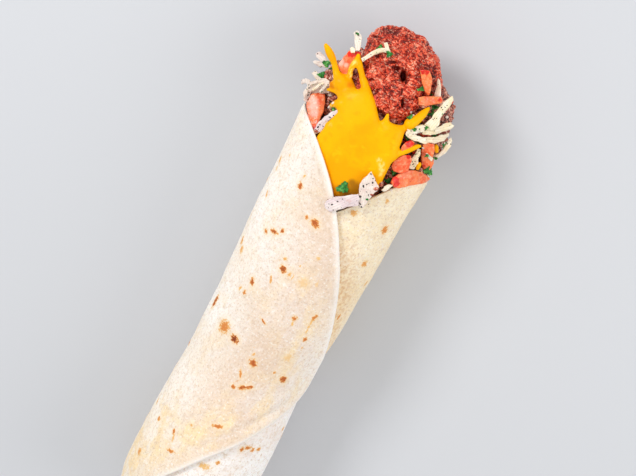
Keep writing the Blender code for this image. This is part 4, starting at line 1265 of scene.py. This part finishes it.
def tomatoLook():
    look = newLook("tomatoFlesh", 0.3, 0.3, (0.15, 1.2, (1.0, 0.4, 0.25)), (0.2, 0.15))
    place = objectPlace()
    colour = speckled(
        blend(readField("warm"), screen(246, 112, 72), screen(252, 146, 76)),
        (cloud(place, 3, 3, 0.6), 0.42, 0.62, 0.6, screen(232, 78, 38)),
        (cloud(place, 1.1, 4, 0.7), 0.5, 0.66, 0.65, screen(254, 184, 140)),
        (cloud(place, 1.6, 3, 0.7, 0.5), 0.44, 0.32, 0.6, screen(214, 62, 34)))
    # painted highlight: a broad pale sheen on the wet cut flesh
    colour = tinted(colour, readField("paintedHighlight"), 0.8, screen(253, 206, 190))
    skin = remap(addUneven(readField("skin"), cloud(place, 1.6, 3), 2.2), 0.3, 0.75)
    redness = blend(remap(cloud(place, 1.5), 0.4, 0.65), screen(236, 40, 20), screen(206, 36, 18))
    finishLook(blend(skin, colour, redness), (cloud(place, 1.2, 3, 0.6), 0.35, 0.3))
    return look


def onionLook():
    look = newLook("onionFlesh", 0.4, 0.5, (0.15, 1.2, (1.0, 0.9, 0.8)), (0.15, 0.2))
    place = objectPlace()
    cold = sums(readField("cold"), 0.0, "ADD", True)
    colour = blend(cold, screen(247, 230, 190), screen(230, 212, 211))
    colour = speckled(colour, (cloud(place, 4, 3), 0.45, 0.62, 0.5, screen(252, 244, 232)))
    # ribs that run along the slice
    rib = sums(readField("rib"), times(cloud(place, 3), 1.2))
    stripe = remap(sums(times(rib, 6.5), 0.0, "SINE"), 0.1, 1.0)
    colour = tinted(colour, stripe, 0.35, blend(cold, screen(226, 200, 156), screen(206, 182, 196)))
    tint = times(remap(cloud(place, 2.4, 3, 0.7), 0.6, 0.72), sums(1.0, cold, "SUBTRACT"))
    colour = tinted(colour, tint, 0.45, screen(206, 196, 140))
    colour = speckled(colour, (cloud(place, 3.1, 3, 0.7), 0.6, 0.72, 0.4, screen(214, 160, 150)))
    finishLook(colour, (stripe, 0.35, 0.25), (cloud(place, 0.9, 2), 0.2, 0.15))
    return look


def makeSlice(name, node, outline, thick, look, kind, number):
    piece = finishPiece(name, cutSlice(outline, thick), look, [node] if node else ())
    rule = slices[kind]
    fuseBody(piece, slices["voxel"], rule["rounds"])
    roughen(piece.data, rule["start"] + number * rule["step"], rule["pore"])
    return piece, placesOf(piece.data)


def makeTomatoes():
    made, look = [], tomatoLook()
    for number, (name, (node, outline, thick, warm, skin, paintedHighlight)) in enumerate(tomatoes.items()):
        piece, places = makeSlice(name, node, outline, thick, look, "tomato", number)
        paint(piece.data, "skin", nearness(places, skin))
        # where the painted highlight lies
        paint(piece.data, "paintedHighlight", nearness(places, paintedHighlight))
        paint(piece.data, "warm", np.full(len(places), warm))
        made.append(piece)
    return made


def makeOnions():
    made, look = [], onionLook()
    for number, (name, (node, outline, thick, cold, _)) in enumerate(onions.items()):
        piece, places = makeSlice(name, node, outline, thick, look, "onion", number)
        start, across = lengthways(outline)
        paint(piece.data, "rib", (places - np.array(start)) @ np.array(across) / mm)
        paint(piece.data, "cold", np.full(len(places), cold))
        made.append(piece)
    return made


tomatoPieces = makeTomatoes()
onionPieces = makeOnions()
standing = [corePiece, saucePiece, breadPiece, *meatPieces, *onionPieces, *tomatoPieces]
print("tomato and onion cut")

# ---- crumbs of mince, onion and tomato on the filling round the mouth

crumbs = {
    "seed": 7,
    "mince": (260, 0.7, 1.5),  # how many, least and most half length in mm
    "onion": (46, 0.6, 1.5),
    "tomato": (22, 0.7, 1.4),
    "toneSize": 2 * mm,
    "startX": 98 * mm,
    "lowestZ": 12 * mm,
    "lift": 0.2,  # share of a crumb's half length
    "placed": {  # pixel across and down, half length in mm, turn in degrees
        "mince": (
            (326, 99, 1.2, 0), (330, 98, 1.3, 40), (333, 100, 1.1, 0), (327, 104, 1.4, 90),
            (331, 108, 1.2, 20), (325, 110, 1.3, 70), (329, 113, 1.2, 0), (327, 72, 1.1, 60),
            (330, 75, 1.3, 20), (327, 78, 1.2, 60), (332, 77, 1.0, 0), (328, 94, 1.0, 0), (316, 131, 1.0, 0),
            (388, 174, 1.6, 60), (385, 178, 1.5, 50), (381, 184, 1.5, 60), (379, 188, 1.2, 50),
            (391, 176, 1.2, 0), (405, 137, 0.9, 70), (402, 143, 1.1, 70), (400, 148, 1.0, 70),
            (355, 78, 1.6, 30), (357, 83, 1.6, 70), (354, 73, 1.2, 0), (376, 189, 1.1, 30),
            (372, 195, 1.0, 40), (433, 90, 1.4, 60), (434, 84, 1.5, 80), (433, 78, 1.3, 0),
            (424, 106, 1.5, 30), (419, 109, 1.6, 60), (415, 113, 1.4, 0)),
        "onion": (
            (324, 91, 1.4, 20), (330, 95, 1.0, 50), (333, 103, 0.8, 0), (329, 107, 0.8, 60),
            (433, 77, 0.9, 20), (423, 148, 0.6, 0), (436, 160, 0.8, 40), (391, 190, 0.8, 0),
            (411, 112, 0.8, 30)),
        "tomato": (
            (423, 135, 1.2, 10), (428, 135.5, 1.3, 0), (404, 142, 0.9, 60), (386, 183, 0.9, 0),
            (414, 152, 0.9, 60), (430, 62.5, 0.5, 0)),
    },
}


lump = {
    "uneven": 0.35,
    "unevenness": 1.6,  # how many bumps there are on a lump
    "places": (0, 50),  # in the noise
    "widths": (0.5, 0.9),
}


def faceOut(normal, turn):
    return normal.to_track_quat("Z", "Y").to_matrix() @ Matrix.Rotation(turn, 3, "Z")


def addLump(bm, centre, normal, length, turn, draw, flat, fineness=2):
    made = bmesh.ops.create_icosphere(bm, subdivisions=fineness, radius=1)["verts"]
    seed = Vector((draw.uniform(*lump["places"]), 0, 0))
    lean = faceOut(normal, turn)
    wide = length * draw.uniform(*lump["widths"])
    for vert in made:
        uneven = 1 + lump["uneven"] * noise.noise(vert.co * lump["unevenness"] + seed)
        shaped = Vector((vert.co.x * length, vert.co.y * wide, vert.co.z * wide * flat)) * uneven
        vert.co = centre + lean @ shaped


def addPlaced(bm, pieces, placed, draw, flat, fineness=2):
    # lumps on these pieces, where the picture shows them
    ground = treeOf(pieces)
    for across, down, size, turn in placed:
        hit, normal, _, _ = ground.ray_cast(viewPlace, rayThrough(across, down))
        if hit is not None:
            facing = (normal + viewBack).normalized()
            addLump(bm, hit, facing, size * mm, math.radians(turn), draw, flat, fineness)


def scatter(kind, look, flat):
    # on the filling's surface at random, and where the picture shows them
    draw = random.Random(f"{crumbs['seed']} {kind}")
    count, least, most = crumbs[kind]
    ground = corePiece.data
    room = [vert.index for vert in ground.vertices
            if vert.co.x > crumbs["startX"] and vert.co.z > crumbs["lowestZ"]]
    bm = bmesh.new()
    for index in draw.sample(room, count):
        vert = ground.vertices[index]
        size = draw.uniform(least, most) * mm
        centre = vert.co + vert.normal * size * crumbs["lift"]
        addLump(bm, centre, vert.normal, size, draw.uniform(0, math.pi), draw, flat)
    addPlaced(bm, standing, crumbs["placed"][kind], draw, flat)
    piece = finishPiece(kind + "Crumbs", bm, look)
    count = len(piece.data.vertices)
    tones = np.array([wobble(vert.co, crumbs["toneSize"], 4.0) for vert in piece.data.vertices])
    # mince crumbs get painted crevice shade that varies at random
    fields = {"mince": {"shadedCrevice": 0.75 + 0.5 * tones, "tone": 0.45 + 0.4 * tones},
              "onion": {"cold": np.full(count, 0.6), "rib": tones},
              "tomato": {"warm": np.full(count, 0.3), "skin": 0.45 + tones, "paintedHighlight": np.zeros(count)}}
    for name, values in fields[kind].items():
        paint(piece.data, name, values)
    return piece


crumbPieces = [
    scatter("mince", corePiece.data.materials[0], 0.8),
    scatter("onion", onionPieces[0].data.materials[0], 0.6),
    scatter("tomato", tomatoPieces[0].data.materials[0], 0.8),
]
print("crumbs scattered")

# ---- parsley

parsley = {
    "thickness": 0.3 * mm,
    "curl": 0.45 * mm,
    "ruffle": 0.2 * mm,
    "lobe": 0.24,
    "tooth": 0.1,
    "lift": 0.45 * mm,
    "cells": 13,
    "facing": 1.5,  # how much a leaf turns towards the camera
    "freeHeight": 43,  # mm, about where a leaf hangs that reaches past the filling
    "leaves": (  # pixel across and down, length and width in mm, turn in degrees
        (343, 187.5, 4.9, 4.0, 60), (326.5, 63.5, 2.9, 2.6, 20), (332, 68.3, 2.2, 1.2, 10),
        (323, 73.5, 3.2, 2.6, 40), (334, 109.3, 3.0, 2.0, 150), (389.2, 54, 2.3, 2.3, 60),
        (380, 47.5, 2.6, 1.2, 20), (410.3, 118, 2.2, 2.2, 0), (434, 107, 3.4, 2.8, 20),
        (431.5, 113.5, 2.8, 3.4, 80), (422, 88.5, 2.0, 3.8, 10), (408, 139, 2.4, 1.4, 0),
        (442, 144, 3.9, 2.8, 30), (428.3, 171.5, 4.0, 3.4, 50), (394.5, 171.8, 3.0, 1.7, 15),
        (387.5, 180, 3.0, 2.6, 70), (425.7, 127.3, 2.0, 1.5, 0), (414.3, 129.5, 1.6, 1.4, 40),
        (434.5, 135.3, 2.0, 1.0, 60), (418.8, 142.8, 1.8, 0.9, 0), (427, 155.5, 1.7, 1.0, 150),
        (435.5, 158.3, 1.6, 1.0, 30), (357.6, 33.8, 1.5, 0.8, 140), (431, 94.5, 1.2, 0.7, 0),
        (367.5, 199.3, 1.0, 0.7, 0),
    ),
    "flecks": 70,
    "fleckSeed": 19,
    "fleckSizes": (0.2, 0.45),  # mm
    "fleckFlatness": 0.4,
}


def addLeaf(bm, centre, normal, length, width, turn):
    cells = parsley["cells"]
    made = bmesh.ops.create_grid(bm, x_segments=cells, y_segments=cells, size=1)["verts"]
    lean = faceOut(normal, turn)
    for vert in made:
        x, y = vert.co.x, vert.co.y
        around = math.atan2(y, x)
        lobe = 1 + parsley["lobe"] * math.cos(3 * around + turn) + parsley["tooth"] * math.cos(11 * around)
        reach = max(abs(x), abs(y)) * lobe
        wave = parsley["curl"] * math.sin(2 * around + turn) * min(reach, 1.0)
        wave += parsley["ruffle"] * math.cos(6 * around) * reach**2
        flat = Vector((math.cos(around) * length / 2, math.sin(around) * width / 2, 0)) * reach
        vert.co = centre + lean @ (flat + Vector((0, 0, wave)))


def parsleyLook():
    look = newLook("parsleyLeaf", 0.5, glow=(0.1, 0.6, (1.0, 0.2, 0.1)))
    place = objectPlace()
    colour = ramp(cloud(place, 1.5, 3, 0.65), (
        (0.3, screen(6, 58, 12)), (0.46, screen(22, 108, 30)), (0.58, screen(56, 150, 52)),
        (0.7, screen(136, 196, 104))))
    finishLook(colour, (cloud(place, 0.8, 2), 0.5, 0.3))
    return look


def makeParsley():
    bm = bmesh.new()
    carriers = treeOf(standing)
    for across, down, length, width, turn in parsley["leaves"]:
        hit, normal, _, _ = carriers.ray_cast(viewPlace, rayThrough(across, down))
        if hit is None:
            hit, normal, _, _ = carriers.find_nearest(atPixel(across, down, parsley["freeHeight"]))
        normal = (normal + viewBack * parsley["facing"]).normalized()
        addLeaf(bm, hit + normal * parsley["lift"], normal, length * mm, width * mm, math.radians(turn))
    piece = finishPiece("parsleyLeaves", bm, parsleyLook())
    wall = piece.modifiers.new("wall", "SOLIDIFY")
    wall.thickness = parsley["thickness"]
    wall.offset = 0
    applyModifiers(piece)
    return piece


def makeFlecks(look):
    # green flecks on the slices and crumbs
    draw = random.Random(parsley["fleckSeed"])
    bm = bmesh.new()
    for _ in range(parsley["flecks"]):
        mesh = draw.choice(onionPieces + onionPieces + crumbPieces).data
        vert = mesh.vertices[draw.randrange(len(mesh.vertices))]
        if vert.normal.z < 0.1 or vert.co.x < crumbs["startX"]:
            continue
        size = draw.uniform(*parsley["fleckSizes"]) * mm
        turn = draw.uniform(0, math.pi)
        addLump(bm, vert.co, vert.normal, size, turn, draw, parsley["fleckFlatness"], 1)
    finishPiece("parsleyFlecks", bm, look)


parsleyPiece = makeParsley()
makeFlecks(parsleyPiece.data.materials[0])
print("parsley scattered")

# ---- cracked pepper

pepper = {
    "seed": 23,
    "least": 0.13,  # mm
    "most": 0.36,
    "crowd": 1.8,  # more grains on every slice
    "flatness": 0.6,
    "bold": (  # pixel across and down, half length in mm, turn
        (371, 174, 0.42, 0), (373, 178.5, 0.38, 20), (372.6, 182.6, 0.62, 130), (366.5, 184.5, 0.34, 30),
        (363.4, 186, 0.8, 110), (374, 189, 0.4, 60), (368.5, 195, 0.38, 90), (359.8, 196.5, 0.75, 70),
        (360.2, 204, 0.6, 0), (361.5, 207, 0.42, 0), (368.3, 204.3, 0.32, 0), (368.8, 183.3, 0.24, 0),
        (332, 204.5, 0.55, 45), (337.5, 201.4, 0.45, 20), (342.5, 199, 0.28, 0), (329, 204, 0.28, 0),
        (328.3, 207.6, 0.3, 0), (333.4, 210, 0.34, 60), (318, 127, 0.6, 60), (320, 124.5, 0.5, 30),
        (315.6, 129.6, 0.4, 0), (330, 117.3, 0.42, 0), (333.5, 115.5, 0.36, 0), (328, 84.5, 0.36, 0),
        (309, 88, 0.4, 0), (308, 95.5, 0.4, 60), (321, 85.8, 0.45, 20), (356.6, 32.6, 0.42, 140),
        (358.4, 35.2, 0.4, 60), (364, 59, 0.3, 0), (371, 54.5, 0.3, 0), (441.3, 107.5, 0.42, 110),
        (442.6, 109.6, 0.34, 120), (433, 119.4, 0.36, 0), (438.5, 126.3, 0.3, 70), (434, 130, 0.3, 0),
        (445.5, 107.5, 0.24, 0), (409.8, 164.8, 0.42, 20), (413, 164.3, 0.38, 80), (415.2, 161.4, 0.36, 60),
        (412.4, 161.8, 0.3, 0), (419, 151.3, 0.42, 40), (416.8, 154, 0.28, 0), (426.5, 154.5, 0.4, 0),
        (439.5, 152.5, 0.28, 0), (411, 131, 0.34, 0), (408, 135, 0.3, 0), (331, 63.7, 0.3, 0),
    ),
}


def pepperLook():
    look = newLook("crackedPepper", 0.6)
    finishLook(ramp(cloud(objectPlace(), 0.6, 2), (
        (0.35, screen(20, 12, 12)), (0.55, screen(52, 34, 30)), (0.75, screen(104, 76, 58)))))
    return look


def makePepper():
    draw = random.Random(pepper["seed"])
    bm = bmesh.new()
    for piece in onionPieces:
        mesh = piece.data
        for _ in range(int(onions[piece.name][4] * pepper["crowd"])):
            vert = mesh.vertices[draw.randrange(len(mesh.vertices))]
            size = draw.triangular(pepper["least"], pepper["most"], pepper["least"]) * mm
            if vert.normal.z > 0:
                turn = draw.uniform(0, math.pi)
                addLump(bm, vert.co, vert.normal, size, turn, draw, pepper["flatness"], 1)
    addPlaced(bm, onionPieces + [breadPiece, parsleyPiece], pepper["bold"], draw, pepper["flatness"], 1)
    finishPiece("crackedPepper", bm, pepperLook())


makePepper()
print("pepper cracked")

# ---- table and light

studio = {
    "floorHalf": 3.0,
    "floor": screen(206, 208, 212),
    "sky": screen(255, 255, 255),
    "skyStrength": 0.7,
    "keyPower": 5.0,
    "keySize": 0.35,
    "keyPlace": (-0.5, 0.4, 0.8),  # right, up and towards the camera, in metres from the target
    "fillPower": 2.8,
    "fillSize": 0.6,
    "fillPlace": (0.7, -0.2, 0.6),
}


def makeLamp(name, place, power, size):
    data = bpy.data.lights.new(name, "AREA")
    data.shape = "DISK"
    data.size = size
    data.energy = power
    lamp = bpy.data.objects.new(name, data)
    right, up, back = place
    lamp.location = viewTarget + viewRight * right + viewUp * up + viewBack * back
    lamp.rotation_euler = (viewTarget - lamp.location).to_track_quat("-Z", "Y").to_euler()
    bpy.context.scene.collection.objects.link(lamp)


def makeStudio():
    bm = bmesh.new()
    bmesh.ops.create_grid(bm, x_segments=1, y_segments=1, size=studio["floorHalf"])
    mesh = bpy.data.meshes.new("floor")
    bm.to_mesh(mesh)
    bm.free()
    floor = bpy.data.objects.new("floor", mesh)
    bpy.context.scene.collection.objects.link(floor)
    mesh.materials.append(newLook("paleTable", 0.8))
    shading["inputs"]["Base Color"].default_value = studio["floor"]
    world = bpy.data.worlds.new("softWhite")
    world.use_nodes = True
    sky = world.node_tree.nodes["Background"]
    sky.inputs["Color"].default_value = studio["sky"]
    sky.inputs["Strength"].default_value = studio["skyStrength"]
    bpy.context.scene.world = world
    makeLamp("key", studio["keyPlace"], studio["keyPower"], studio["keySize"])
    makeLamp("fill", studio["fillPlace"], studio["fillPower"], studio["fillSize"])
    bpy.context.scene.view_settings.view_transform = "Standard"


makeStudio()
print("studio lit")
